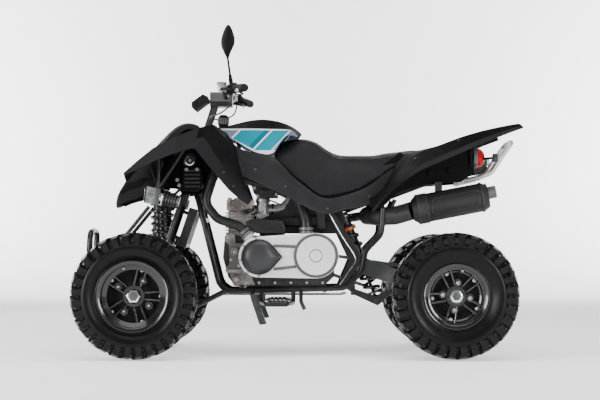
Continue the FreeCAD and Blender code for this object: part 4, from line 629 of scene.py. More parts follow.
class Tread:
    """How far out the tread's blocks begin and end, at a distance y from the tyre's middle."""

    def __init__(self, wheel, height):
        self.tip, self.base, self.half = wheel.radius, wheel.radius - height, wheel.half

    def crown(self, y):
        """Tops of the blocks in the middle."""
        return self.tip - 0.010 * (abs(y) / self.half) ** 3

    def under(self, y):
        """Feet of the blocks in the middle."""
        return min(self.base, self.base - 0.010 * (abs(y) / self.half) ** 4) - 0.004

    def shoulder(self, y):
        """Tops of the blocks on the shoulders."""
        return self.tip - 0.004 - 0.30 * max(0.0, abs(y) - (self.half - 0.034))

    def deep(self, y):
        """Feet of the blocks on the shoulders."""
        return self.base - 0.016 - 1.1 * max(0.0, abs(y) - (self.half - 0.030))


def lug(shape, world, angle, sweep, reach, floor, top, skew=0.0, taper=0.82):
    """One tread block with sloped flanks between two y; skew turns its far end round the tyre."""
    y_low, y_high = sorted(reach)
    middle = (y_low + y_high) / 2
    rings = []
    for radius_of, share in ((floor, 1.0), (lambda y: top(y) - 0.0015, taper + 0.08), (top, taper)):
        ring = []
        for way, y_end in ((-1, y_low), (1, y_low), (1, y_high), (-1, y_high)):
            y = middle + (y_end - middle) * share
            turn = angle + way * sweep * share / 2 + skew * (y - middle)
            ring.append(tread_point(world, turn, y, radius_of(y)))
        rings.append(ring)
    shape.grid(rings, cap=True)


def tyre_piece(wheel, settings):
    """Carcass, shoulder blocks, rows of slanted blocks inside them and blocks along the middle."""
    shape = Shape()
    shape.lathe(carcass_profile(wheel, settings.lug_height), settings.steps, wheel.world)
    tread = Tread(wheel, settings.lug_height)
    pitch = 2 * pi / settings.lugs
    inner = wheel.half - 0.044
    rows = 2 if wheel.end == "front" else 3
    for k in range(settings.lugs):
        for way in (LEFT, RIGHT):
            angle = k * pitch + (pitch * 0.5 if way == RIGHT else 0.0)
            ends = (way * (wheel.half - 0.004), way * (wheel.half - 0.038))
            lug(shape, wheel.world, angle, pitch * 0.60, ends, tread.deep, tread.shoulder,
                way * 1.2)
            for row in range(rows - 1):
                if (k + row) % 2:
                    continue
                outer_y = inner * (1 - row / (rows - 0.6))
                inner_y = outer_y - inner / (rows - 0.6) * 0.78
                lug(shape, wheel.world, angle, pitch * 0.95, (way * outer_y, way * inner_y),
                    tread.under, tread.crown, way * -2.4)
    for k in range(0, settings.lugs, 2):
        lug(shape, wheel.world, (k + 1) * pitch, pitch * 0.8, (-0.015, 0.015), tread.under,
            tread.crown)
    side_marks(shape, wheel)
    return shape.object(wheel.tyre + "_tread", "tyre rubber", 0.5)


SIDE_MARKS = 32


def side_marks(shape, wheel):
    """Small raised blocks on the shoulders, between the rib and the tread."""
    rib = wheel.rib
    for way in (LEFT, RIGHT):
        for k in range(SIDE_MARKS):
            turn = 2 * pi * (k + (0.5 if way == RIGHT else 0)) / SIDE_MARKS
            rings = []
            for lift, grow in ((-0.004, 1.0), (0.0012, 0.86)):
                ring = []
                for way_t, r in (
                        (-1, rib + 0.007), (1, rib + 0.007), (1, rib + 0.021), (-1, rib + 0.021)):
                    radius = rib + 0.014 + (r - rib - 0.014) * grow
                    lean = 0.25 * (radius - rib)
                    y = way * (wheel.half - 0.0105 - lean + lift)
                    here = turn + way_t * grow * 0.0095 / radius
                    ring.append(tread_point(wheel.world, here, y, radius))
                rings.append(ring)
            shape.grid(rings, cap=True)


# Cables


# The right cable's way from its lever to the stem; the left one mirrors it.
CABLE_DIAMETER = 0.007
CABLE_ROUTE = ((-0.268, 0.254, 1.072), (-0.270, 0.250, 1.030), (-0.300, 0.205, 1.003),
               (-0.338, 0.140, 0.990), (-0.366, 0.072, 0.990), (-0.370, 0.008, 0.978))


class QUAD_OT_cables(Operator):
    """Throttle and brake cables from the bar to the stem"""
    bl_idname = "quad.cables"
    bl_label = "Cables"

    def execute(self, context):
        for side, word in SIDES:
            points = [(x, side * y, z) for x, y, z in CABLE_ROUTE]
            line = bpy.data.curves.new(f"{word}_cable_line", "CURVE")
            line.dimensions = "3D"
            line.bevel_depth = CABLE_DIAMETER / 2
            line.bevel_resolution = 4
            line.resolution_u = 16
            line.use_fill_caps = True
            spline = line.splines.new("NURBS")
            spline.points.add(len(points) - 1)
            for point, place in zip(spline.points, points):
                point.co = (*place, 1)
            spline.order_u = 3
            spline.use_endpoint_u = True
            line.materials.append(finish("hose rubber"))
            cable = placed(f"{word}_cable_line", line)
            carried(cable, "steering", [f"{word}_cable"])
        return {"FINISHED"}


class QUAD_OT_tyres(Operator):
    """Four knobbly tyres with ribbed sidewalls"""
    bl_idname = "quad.tyres"
    bl_label = "Tyres"

    def execute(self, context):
        for wheel in WHEELS:
            piece = tyre_piece(wheel, context.scene.quad_tyres)
            carried(piece, wheel.body, [wheel.tyre])
        return {"FINISHED"}


# Rims and hubs


class RimSettings(PropertyGroup):
    spokes: IntProperty(
        name="Spokes", description="Paired spokes of each rim", default=5, min=3, max=9)
    ridge: FloatProperty(
        name="Ridge", description="Width of each spoke ridge", default=0.013, unit="LENGTH")
    spread: FloatProperty(name="Spread", description="From a spoke's middle to its ridges",
                          default=0.019, unit="LENGTH")
    wall: FloatProperty(name="Wall", description="Thickness of the barrel", default=0.0055,
                        unit="LENGTH")


# Along a wheel's axis from its middle: its disc's face and back. Round the axis: the circle of its
# studs, where studs and spokes begin, and the bore.
DISC_FACE = {"front": 0.018, "rear": 0.068}
DISC_BACK = {"front": 0.008, "rear": 0.058}
STUD_CIRCLE = {"front": 0.072, "rear": 0.054}
STUD_TURN = {"front": radians(32), "rear": radians(7)}
SPOKE_TURN = {"front": radians(36), "rear": radians(67)}
HUB_BORE = {"front": 0.0284, "rear": 0.0264}


def wheel_point(wheel, radius, turn, y):
    """A point of the wheel: turn runs from +X towards +Z, y outwards."""
    return wheel.world @ around(radius, turn, y)


def barrel_profile(wheel, wall):
    """Closed section of the barrel: outer side first, then back along the inside."""
    lip, half = wheel.lip, wheel.rim_half
    well = lip - 0.030
    outer = [(-half, lip), (-half + 0.006, lip), (-half + 0.009, lip - 0.010),
             (-half + 0.030, lip - 0.0115), (-half + 0.042, well), (half - 0.046, well),
             (half - 0.036, lip - 0.0115), (half - 0.009, lip - 0.010), (half - 0.006, lip),
             (half - 0.001, lip), (half, lip - 0.002)]
    inner = [(half - 0.001, lip - 0.006), (half - 0.008, lip - 0.010 - wall),
             (half - 0.034, lip - 0.0125 - wall), (half - 0.046, well - wall),
             (-half + 0.044, well - wall), (-half + 0.034, lip - 0.0115 - wall),
             (-half + 0.004, lip - 0.010 - wall), (-half, lip - 0.005)]
    return outer + inner


def spoke_ridge(shape, wheel, turn, offset, reach, heights, half_width):
    """A raised ridge with sloped flanks from the hub to the barrel, beside a spoke's middle."""
    rings = []
    for radius, (low, high) in zip(reach, heights):
        ring = []
        for way, y in ((-1, low), (-0.55, high - 0.0012), (-0.25, high), (0.25, high),
                       (0.55, high - 0.0012), (1, low)):
            across = offset * (0.55 + 0.45 * radius / reach[-1]) + way * half_width
            ring.append(wheel_point(wheel, hypot(radius, across), turn + atan2(across, radius), y))
        rings.append(ring)
    shape.grid(rings, cap=True)


def rim_piece(wheel, settings):
    """Barrel, hub disc and paired spoke ridges."""
    shape = Shape()
    shape.lathe(barrel_profile(wheel, settings.wall), 96, wheel.world, closed=True)
    face, back = DISC_FACE[wheel.end], DISC_BACK[wheel.end]
    inside = wheel.lip - 0.0125 - settings.wall
    bore = HUB_BORE[wheel.end]
    plate = bore + 0.014
    shape.lathe([(back, bore), (back, plate + 0.006), (face - 0.004, plate + 0.004),
                 (face + 0.003, plate), (face + 0.003, bore)], 60, wheel.world, closed=True)
    shape.lathe([(face + 0.001, inside - 0.011), (face + 0.011, inside - 0.006),
                 (face + 0.013, inside + 0.001), (back, inside + 0.001), (back, inside - 0.011)],
                96, wheel.world, closed=True)
    for turn in turns(settings.spokes, SPOKE_TURN[wheel.end]):
        for way in (-1, 1):
            spoke_ridge(shape, wheel, turn, way * settings.spread, (plate, inside - 0.003), (
                (back + 0.001, face + 0.002), (back + 0.001, face + 0.012)), settings.ridge / 2)
    for turn in turns(4, STUD_TURN[wheel.end]):
        foot = wheel_point(wheel, STUD_CIRCLE[wheel.end], turn, back + 0.001)
        knob(shape, foot, (0, wheel.side, 0), ((0.0, 0.0175), (face - back - 0.001, 0.0155)), 24)
    return shape.object(wheel.rim + "_spokes", "gloss black", 0.5)


def rim_shade_backing(wheel):
    """Matt black backing behind the spokes: painted shade, a sheet that fills the rim's windows
    where shade would be.
    """
    shape = Shape()
    back = DISC_BACK[wheel.end]
    inside = wheel.lip - 0.0125
    bore = HUB_BORE[wheel.end]
    # Painted shade: this sheet makes everything seen through the windows between the spokes dark.
    shape.lathe([(back, bore), (back + 0.0035, bore), (back + 0.0035, 0.060),
                 (back + 0.0015, 0.064), (back + 0.0015, inside - 0.004), (back, inside - 0.004)],
                72, wheel.world, closed=True)
    return shape.object(wheel.rim + "_web", "moulded black", 0.5)


def rim_hardware(wheel, count):
    """Small bolts at the spokes' outer ends, stud tips, and the valve."""
    shape = Shape()
    face = DISC_FACE[wheel.end]
    for turn in turns(count, SPOKE_TURN[wheel.end]):
        place = wheel_point(wheel, wheel.lip - 0.034, turn, face - 0.001)
        bolt(shape, place, (0, wheel.side, 0), 0.010, 0.005)
    for turn in turns(4, STUD_TURN[wheel.end]):
        place = wheel_point(wheel, STUD_CIRCLE[wheel.end], turn, face + 0.0118)
        knob(shape, place, (0, wheel.side, 0), ((0.0, 0.0055), (0.0035, 0.005), (0.005, 0.0028)))
    valve = wheel_point(
        wheel, wheel.lip - 0.026, SPOKE_TURN[wheel.end] + pi / count, wheel.rim_half - 0.040)
    knob(shape, valve, (0, wheel.side, 0), (
        (-0.004, 0.0045), (0.010, 0.004), (0.011, 0.0052), (0.018, 0.0045)))
    return shape.object(wheel.rim + "_hardware", "plated steel", 0.5)


def hub_cap(wheel):
    """Grey cap inside a bright six-sided ring."""
    low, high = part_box(f"front_hub_{wheel.word}" if wheel.end == "front" else "rear_axle")
    end = max(abs(low.y), abs(high.y)) - abs(wheel.centre.y)
    ring = Shape()
    radius = 0.027 if wheel.end == "front" else 0.025
    ring.lathe([(end - 0.010, radius), (end + 0.0005, radius), (end + 0.0015, radius - 0.003),
                (end + 0.0015, radius - 0.007), (end - 0.002, radius - 0.008),
                (end - 0.010, radius - 0.008)], 6, wheel.world, closed=True)
    bright = ring.object(wheel.rim + "_cap_ring", "chrome", 0.4)
    disc = Shape()
    disc.lathe([(end - 0.006, radius - 0.0075), (end + 0.0002, radius - 0.0085),
                (end + 0.0012, radius - 0.012), (end + 0.0018, 0.004)], 32, wheel.world, cap=True)
    return bright, disc.object(wheel.rim + "_cap_disc", "grey ring", 0.5)


class QUAD_OT_rims(Operator):
    """Four rims with paired spokes, their hardware and hub caps"""
    bl_idname = "quad.rims"
    bl_label = "Rims"

    def execute(self, context):
        settings = context.scene.quad_rims
        for wheel in WHEELS:
            carried(rim_piece(wheel, settings), wheel.body, [wheel.rim])
            for piece in (rim_shade_backing(wheel), rim_hardware(wheel, settings.spokes), *hub_cap(wheel)):
                carried(piece, wheel.body)
        return {"FINISHED"}


# Engine side


def cover_middles():
    """Middles of the belt cover's front dome and rear disc, on its outer face."""
    low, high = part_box("belt_cover")
    face = low.y + 0.012
    reach = (high.z - low.z) / 2
    disc = Vector((high.x - reach, face, (high.z + low.z) / 2))
    cap_low, cap_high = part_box("variator_cap")
    dome_reach = (cap_high.z - cap_low.z) / 2
    return Vector((cap_low.x + dome_reach, face, (cap_high.z + cap_low.z) / 2)), disc


DOME_MIDDLE, DISC_MIDDLE = cover_middles()
COVER_FACE = DISC_MIDDLE.y
# The cover's radii round the dome and round the disc.
COVER_REACH = (0.082, 0.091)
OUTWARD_LEFT = Vector((0, -1, 0))
# Rows of the domed cap: height over the cover, radius, and how far out its point reaches.
DOME_ROWS = (
    (-0.001, 0.0725, 0.0955), (0.0075, 0.0725, 0.0955), (0.0085, 0.0705, 0.0935),
    (0.0060, 0.0695, 0.0925), (0.0065, 0.0685, 0.0905), (0.0190, 0.0670, 0.0850),
    (0.0250, 0.0620, 0.0750), (0.0310, 0.0540, 0.0620), (0.0352, 0.0440, 0.0490),
    (0.0380, 0.0320, 0.0350), (0.0394, 0.0180, 0.0195), (0.0398, 0.0060, 0.0066),
)


def cover_ring(inset, y):
    """The belt cover's outline, drawn in by an inset."""
    ring = []
    for middle, reach, start in (
            (DOME_MIDDLE, COVER_REACH[0], pi / 2), (DISC_MIDDLE, COVER_REACH[1], -pi / 2)):
        for k in range(21):
            angle = start + pi * k / 20
            ring.append(Vector((middle.x + (reach - inset) * cos(angle), y,
                                middle.z + (reach - inset) * sin(angle))))
    return ring


class QUAD_OT_belt_cover(Operator):
    """Flange, bolts, clutch disc, ribs and domed cap of the belt drive"""
    bl_idname = "quad.belt_cover"
    bl_label = "Belt cover"

    def execute(self, context):
        trim = Shape()
        rows = [cover_ring(inset, COVER_FACE + y) for inset, y in (
            (-0.0015, 0.004), (-0.0015, -0.002), (0.0, -0.0035), (0.0085, -0.0035), (0.010, 0.001))]
        trim.grid(rows, close_ends=True)
        out = along_axis(DISC_MIDDLE, OUTWARD_LEFT)
        trim.lathe([(0.0, 0.0785), (0.010, 0.0785), (0.0125, 0.0765), (0.0135, 0.060),
                    (0.0142, 0.0275), (0.0130, 0.0262), (0.0, 0.0262)], 72, out, closed=True)
        trim.lathe([(0.010, 0.0236), (0.0150, 0.0230), (0.0160, 0.0200), (0.0162, 0.003)], 40, out,
                   cap=True)
        fitted(trim, "belt_cover_trim", "brushed cover alloy", crease=0.4)
        ring = Shape()
        ring.lathe([(-0.001, 0.0788), (0.008, 0.0790), (0.0098, 0.0808), (0.0098, 0.0882),
                    (0.0078, 0.0905), (-0.001, 0.0910)], 80, out, closed=True)
        ring.lathe([(0.009, 0.0232), (0.0150, 0.0240), (0.0150, 0.0262), (0.009, 0.0270)], 48, out,
                   closed=True)
        fitted(ring, "clutch_ring", "grey ring", crease=0.4)
        ribs = Shape()
        middle = (DOME_MIDDLE.x + DISC_MIDDLE.x) / 2
        for front_z, rear_z in ((DISC_MIDDLE.z + 0.040, DISC_MIDDLE.z + 0.037),
                                (DISC_MIDDLE.z - 0.054, DISC_MIDDLE.z - 0.045)):
            ribs.slab(round_bar((middle - 0.052, front_z), (middle + 0.030, rear_z), 0.0062),
                      COVER_FACE, COVER_FACE - 0.0075)
        fitted(ribs, "cover_ribs", "grey ring")
        screws = Shape()
        ring = cover_ring(0.0045, COVER_FACE - 0.0035)
        for index in (1, 6, 11, 16, 20, 22, 27, 32, 37, 41):
            bolt(screws, ring[index], OUTWARD_LEFT, 0.0085, 0.0045)
        fitted(screws, "cover_screws", "plated steel")
        self.cap()
        return {"FINISHED"}

    def drop_outline(self, reach, tip, steps=44):
        """A circle drawn out into a point towards the clutch, along its tangents."""
        lean = acos(reach / tip)
        ring = []
        for k in range(steps):
            angle = lean + (2 * pi - 2 * lean) * k / (steps - 1)
            ring.append((reach * cos(angle), reach * sin(angle)))
        return ring + [(tip - 0.002, -0.0035), (tip, 0.0), (tip - 0.002, 0.0035)]

    def cap(self):
        """Domed cap drawn out into a point, on a thin seam, with three screws."""
        shape = Shape()
        rings = []
        for height, reach, tip in DOME_ROWS:
            rings.append(
                [DOME_MIDDLE + Vector((x, -height, z)) for x, z in self.drop_outline(reach, tip)])
        shape.grid(rings, cap=True)
        for angle in (0.0, radians(135), radians(225)):
            reach = 0.0868 if angle == 0.0 else 0.0655
            knob(shape, DOME_MIDDLE + around(reach, angle, -0.016), OUTWARD_LEFT,
                 ((-0.006, 0.005), (0.004, 0.0046), (0.005, 0.003)), 12)
        fitted(shape, "variator_dome", "cap plastic", crease=0.45,
               replaces=["variator_cap"])


class QUAD_OT_engine(Operator):
    """Covers, bolts and plug of the engine, carburettor, duct necks, drive shield, tank rails"""
    bl_idname = "quad.engine"
    bl_label = "Engine"

    def execute(self, context):
        low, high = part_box("crankcase")
        head_low, head_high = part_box("cylinder")
        cast, steel = Shape(), Shape()
        front_case = [
            (-0.298, 0.500), (-0.262, 0.500), (-0.258, 0.462), (-0.190, 0.462), (-0.190, 0.318),
            (-0.176, 0.286), (-0.268, 0.284), (-0.282, 0.330), (-0.297, 0.345), (-0.297, 0.362),
            (-0.286, 0.372), (-0.286, 0.455), (-0.303, 0.470)]
        cast.slab(front_case, low.y + 0.030, low.y - 0.022, 0.003)
        cast.slab([(-0.300, 0.338), (-0.200, 0.338), (-0.200, 0.352), (-0.300, 0.352)],
                  low.y - 0.020, low.y - 0.028, 0.002)
        for x, z, reach, depth in ((-0.262, 0.425, 0.019, 0.036), (-0.256, 0.310, 0.018, 0.034)):
            knob(cast, (x, low.y, z), OUTWARD_LEFT, (
                (-0.002, reach), (depth * 0.8, reach), (depth, reach * 0.85), (depth, 0.004)), 28)
            bolt(steel, (x, low.y - depth, z), OUTWARD_LEFT, 0.011, 0.007)
        for x, z in ((-0.288, 0.486), (-0.278, 0.392), (-0.246, 0.366), (-0.214, 0.296),
                     (-0.226, 0.450)):
            bolt(steel, (x, low.y - 0.022, z), OUTWARD_LEFT, 0.009, 0.007)
        for k in range(5):
            x = low.x + 0.150 + 0.066 * k
            bolt(steel, (x, low.y, low.z + 0.014), OUTWARD_LEFT, 0.008, 0.006)
            bolt(steel, (x, high.y, low.z + 0.012), -OUTWARD_LEFT, 0.009, 0.007)
        magneto = (low.x + 0.190, high.y, low.z + 0.115)
        knob(cast, magneto, -OUTWARD_LEFT, (
            (-0.002, 0.088), (0.020, 0.087), (0.028, 0.080), (0.030, 0.060), (0.038, 0.056),
            (0.040, 0.030), (0.036, 0.026)), 56)
        for angle in turns(8, 0.2):
            bolt(steel, Vector(magneto) + around(0.081, angle, 0.026), -OUTWARD_LEFT, 0.010, 0.008)
        self.head(cast, steel, head_low, head_high)
        fitted(cast, "engine_castings", "cast alloy")
        fitted(steel, "engine_bolts", "plated steel")
        self.fittings(low, head_low, head_high)
        self.carburettor()
        self.necks()
        self.tank_rails()
        return {"FINISHED"}

    def carburettor(self):
        """Bowl, lid and clamps of the carburettor, beside its hose."""
        alloy, steel = Shape(), Shape()
        centre = Vector((-0.149, -0.006, 0.600))
        knob(alloy, centre + Vector((0, 0, 0.030)), (0, 0, 1), (
            (0.0, 0.031), (0.016, 0.031), (0.020, 0.027), (0.026, 0.012), (0.034, 0.010)), 28)
        alloy.brick(centre + Vector((0, 0, -0.034)), (0.026, 0.029, 0.019))
        knob(alloy, centre + Vector((0, 0, -0.052)), (0, 0, -1),
             ((0.0, 0.015), (0.010, 0.014), (0.012, 0.009)), 20)
        alloy.brick(centre + Vector((-0.004, -0.034, 0.006)), (0.013, 0.012, 0.016))
        fitted(alloy, "carburettor_body", "silver alloy", bevel=0.002)
        for x, reach in ((-0.112, 0.0275), (-0.186, 0.0225), (-0.052, 0.0262)):
            world = along_axis((x, 0.0, 0.600 if x < -0.06 else 0.612), (1, 0, 0))
            steel.band(0.0, 0.009, reach - 0.003, reach, world)
        for dx in (-0.018, 0.018):
            bolt(steel, centre + Vector((dx, -0.029, -0.034)), OUTWARD_LEFT, 0.007, 0.005)
            bolt(steel, centre + Vector((dx, -0.012, 0.046)), (0, 0, 1), 0.007, 0.005)
        spring = [
            (-0.118 + 0.010 * k, -0.052 - 0.002 * (k % 2), 0.640 - 0.004 * k) for k in range(6)]
        steel.pipe(spring, 0.0035, 8)
        fitted(steel, "carburettor_clamps", "plated steel")

    def head(self, cast, steel, low, high):
        """Round side cover and bolts of the cylinder head."""
        middle = (low.x + high.x) / 2
        knob(cast, (middle - 0.008, low.y + 0.001, high.z - 0.022), OUTWARD_LEFT,
             ((-0.002, 0.030), (0.010, 0.030), (0.014, 0.026), (0.015, 0.010)), 32)
        for angle in turns(3, pi / 2):
            bolt(steel, (middle - 0.008 + 0.024 * cos(angle), low.y - 0.010,
                         high.z - 0.022 + 0.024 * sin(angle)), OUTWARD_LEFT, 0.008, 0.006)
        for x in (low.x + 0.018, high.x - 0.018):
            for y in (low.y + 0.016, high.y - 0.016):
                bolt(steel, (x, y, high.z), (0, 0, 1), 0.013, 0.009)

    def fittings(self, case_low, head_low, head_high):
        """Starter motor, plug cap, drive shield and pivot plates."""
        black = Shape()
        case_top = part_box("crankcase")[1].z
        knob(black, (case_low.x + 0.150, -0.078, case_top + 0.024), (1, 0, 0),
             ((0.0, 0.018), (0.004, 0.026), (0.100, 0.026), (0.106, 0.020), (0.114, 0.012)), 28)
        black.brick((case_low.x + 0.200, -0.078, case_top + 0.006), (0.030, 0.020, 0.008))
        plug = Vector((head_high.x - 0.030, head_low.y - 0.004, head_high.z - 0.052))
        black.pipe([plug, plug + Vector((0.006, -0.030, 0.004)),
                    plug + Vector((0.030, -0.046, 0.008))], lambda share: 0.010 - 0.003 * share)
        shield = [(-0.215, 0.548), (-0.212, 0.512), (-0.168, 0.500), (-0.060, 0.500),
                  (-0.050, 0.522), (-0.062, 0.552), (-0.180, 0.562)]
        black.slab(shield, -0.132, -0.205, 0.004)
        black.slab([(-0.100, 0.560), (0.060, 0.575), (0.120, 0.560), (0.120, 0.540), (0.030, 0.528),
                    (-0.100, 0.536)], -0.060, -0.098, 0.004)
        black.slab([(-0.165, 0.500), (0.180, 0.500), (0.200, 0.560), (0.150, 0.690),
                    (-0.010, 0.690), (-0.060, 0.600), (-0.160, 0.560)], -0.040, -0.047, 0.002)
        black.slab([(0.075, 0.640), (0.105, 0.640), (0.112, 0.520), (0.080, 0.520)],
                   -0.150, -0.180, 0.003)
        for side in (LEFT, RIGHT):
            plate = [(0.120, 0.590), (0.146, 0.590), (0.262, 0.412), (0.260, 0.385), (0.192, 0.278),
                     (0.166, 0.286), (0.212, 0.392), (0.206, 0.412)]
            black.slab(plate, side * 0.146, side * 0.154, 0.0015)
        fitted(black, "engine_fittings", "powder black", bevel=0.0012)
        edge = Shape()
        edge.pipe([(0.126, -0.1555, 0.586), (0.180, -0.1555, 0.490), (0.236, -0.1555, 0.398),
                   (0.214, -0.1555, 0.350), (0.172, -0.1555, 0.288)], 0.0026, 8)
        fitted(edge, "pivot_plate_edge", "plated steel", crease=0.6)

    def necks(self):
        """Collars and clamps where the ducts leave the belt cover, and the intake's upper boot."""
        pale, dark = Shape(), Shape()
        for foot, way, reach in (((-0.196, -0.205, 0.478), (-0.044, 0, 0.052), 0.0205),
                                 ((0.033, -0.205, 0.480), (0, 0, 1), 0.0245)):
            knob(pale, foot, way,
                 ((0.0, reach + 0.003), (0.012, reach + 0.002), (0.017, reach)), 28)
            world = along_axis(foot, way)
            for start in (0.018, 0.034):
                dark.band(start, start + 0.011, reach - 0.001, reach + 0.0045, world, 28)
            dark.brick(world @ Vector((0, 0.0395, reach + 0.006)), (0.005, 0.006, 0.005))
        fitted(pale, "duct_necks", "pale neck")
        fitted(dark, "duct_clamps", "grey ring")
        boot = Shape()
        boot.pipe([(-0.350, -0.1915, 0.728), (-0.340, -0.187, 0.752), (-0.318, -0.180, 0.800),
                   (-0.282, -0.170, 0.850)], 0.0212, 24)
        fitted(boot, "intake_boot", "hose rubber")

    def tank_rails(self):
        """Rails and gussets under the tank, with their bolts and a small finned unit."""
        rails = Shape()
        for side in (LEFT, RIGHT):
            rails.pipe([(-0.318, side * 0.088, 0.760), (-0.190, side * 0.092, 0.712),
                        (-0.040, side * 0.096, 0.664), (0.110, side * 0.100, 0.622)], 0.0115, 14)
            rails.slab([(-0.196, 0.708), (-0.090, 0.676), (-0.084, 0.652), (-0.150, 0.650),
                        (-0.186, 0.668)], side * 0.092, side * 0.100, 0.0015)
        unit = (-0.128, -0.108, 0.668)
        rails.brick(unit, (0.030, 0.010, 0.015))
        for k in range(-3, 4):
            rails.brick((unit[0] + 0.008 * k, unit[1] - 0.012, unit[2]), (0.0018, 0.0035, 0.014))
        fitted(rails, "tank_rails", "powder black", bevel=0.0012)
        pins = Shape()
        for x, z in (
                (-0.182, 0.690), (-0.092, 0.664), (-0.168, 0.656), (-0.030, 0.661), (0.060, 0.637)):
            for side in (LEFT, RIGHT):
                bolt(pins, (x, side * (0.101 if x < -0.05 else 0.108), z), (0, side, 0), 0.010,
                     0.006)
        fitted(pins, "tank_rail_bolts", "plated steel")


# Springs and dampers


class SpringSettings(PropertyGroup):
    turns_front: FloatProperty(
        name="Front turns", description="Coils of a front spring", default=14.0)
    turns_rear: FloatProperty(
        name="Rear turns", description="Coils of the rear spring", default=8.0)
    wire_front: FloatProperty(
        name="Front wire", description="Radius of the wire", default=0.0066, unit="LENGTH")
    wire_rear: FloatProperty(
        name="Rear wire", description="Radius of the wire", default=0.0068, unit="LENGTH")


DAMPER_EYE = 0.013
FRONT_TOP_Y, FRONT_FOOT_Y = 0.215, 0.240
REAR_DAMPER_TOP, REAR_DAMPER_FOOT = Vector((0.178, 0, 0.600)), Vector((0.328, 0, 0.230))
COLLAR_BELOW_TOP = 0.094


class QUAD_OT_springs(Operator):
    """Coil springs, adjusting collars and bolts of the three dampers"""
    bl_idname = "quad.springs"
    bl_label = "Springs"

    def execute(self, context):
        settings = context.scene.quad_springs
        low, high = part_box("front_shocks")
        coils, collars, bolts = Shape(), Shape(), Shape()
        for side in (LEFT, RIGHT):
            top = Vector((low.x + 0.031, side * FRONT_TOP_Y, high.z - DAMPER_EYE))
            foot = Vector((high.x - 0.031, side * FRONT_FOOT_Y, low.z + DAMPER_EYE))
            self.damper(coils, collars, foot, top, 0.027, settings.wire_front, settings.turns_front)
            for end in (top, foot):
                bolt(bolts, end - Vector((0.021, 0, 0)), (-1, 0, 0), 0.014, 0.009)
        fitted(coils, "front_coils", "gloss black", crease=0.6,
               replaces=["front_springs"])
        coils = Shape()
        self.damper(coils, collars, REAR_DAMPER_FOOT, REAR_DAMPER_TOP, 0.030, settings.wire_rear,
                    settings.turns_rear)
        fitted(coils, "rear_coils", "gloss black", crease=0.6,
               replaces=["rear_spring"])
        fitted(collars, "spring_collars", "dull steel")
        fitted(bolts, "damper_bolts", "plated steel")
        orange = Shape()
        along = (REAR_DAMPER_TOP - REAR_DAMPER_FOOT).normalized()
        world = along_axis(REAR_DAMPER_TOP - along * COLLAR_BELOW_TOP, along)
        orange.lathe([(0.0, 0.024), (0.0, 0.0335), (0.002, 0.035), (0.011, 0.035), (0.013, 0.0335),
                      (0.013, 0.024)], 40, world, closed=True)
        fitted(orange, "preload_collar", "orange collar")
        return {"FINISHED"}

    def damper(self, coils, collars, foot, top, reach, wire, count):
        """The coil of one damper, and the collars on which it sits."""
        along = (top - foot).normalized()
        coils.coil(foot + along * (0.031 + wire), top - along * (0.041 + wire), reach, wire, count)
        for place in (foot + along * 0.021, top - along * 0.033):
            collars.band(0.0, 0.004, 0.020, reach + wire, along_axis(place, along))


# Handlebar


# The bar's right end and the bend inside it; the left half mirrors them.
BAR_END, BAR_ELBOW = Vector((-0.212, 0.395, 1.080)), Vector((-0.304, 0.165, 1.094))
GRIP_LENGTH, GRIP_RADIUS, GRIP_RIBS = 0.125, 0.017, 15
CLAMP_TOP = 1.094
POD_LEAN = radians(-38)
# Rows of the mirror's head: height in metres, depth and half width in millimetres.
MIRROR_LEAF = (
    (1.213, 5, 5), (1.224, 9, 11), (1.235, 13, 20), (1.250, 17, 35), (1.265, 19.5, 48),
    (1.280, 20, 54), (1.295, 18.5, 54.5), (1.310, 15.5, 50), (1.324, 12, 42), (1.336, 9, 32),
    (1.346, 5.5, 20), (1.3525, 2.5, 8),
)


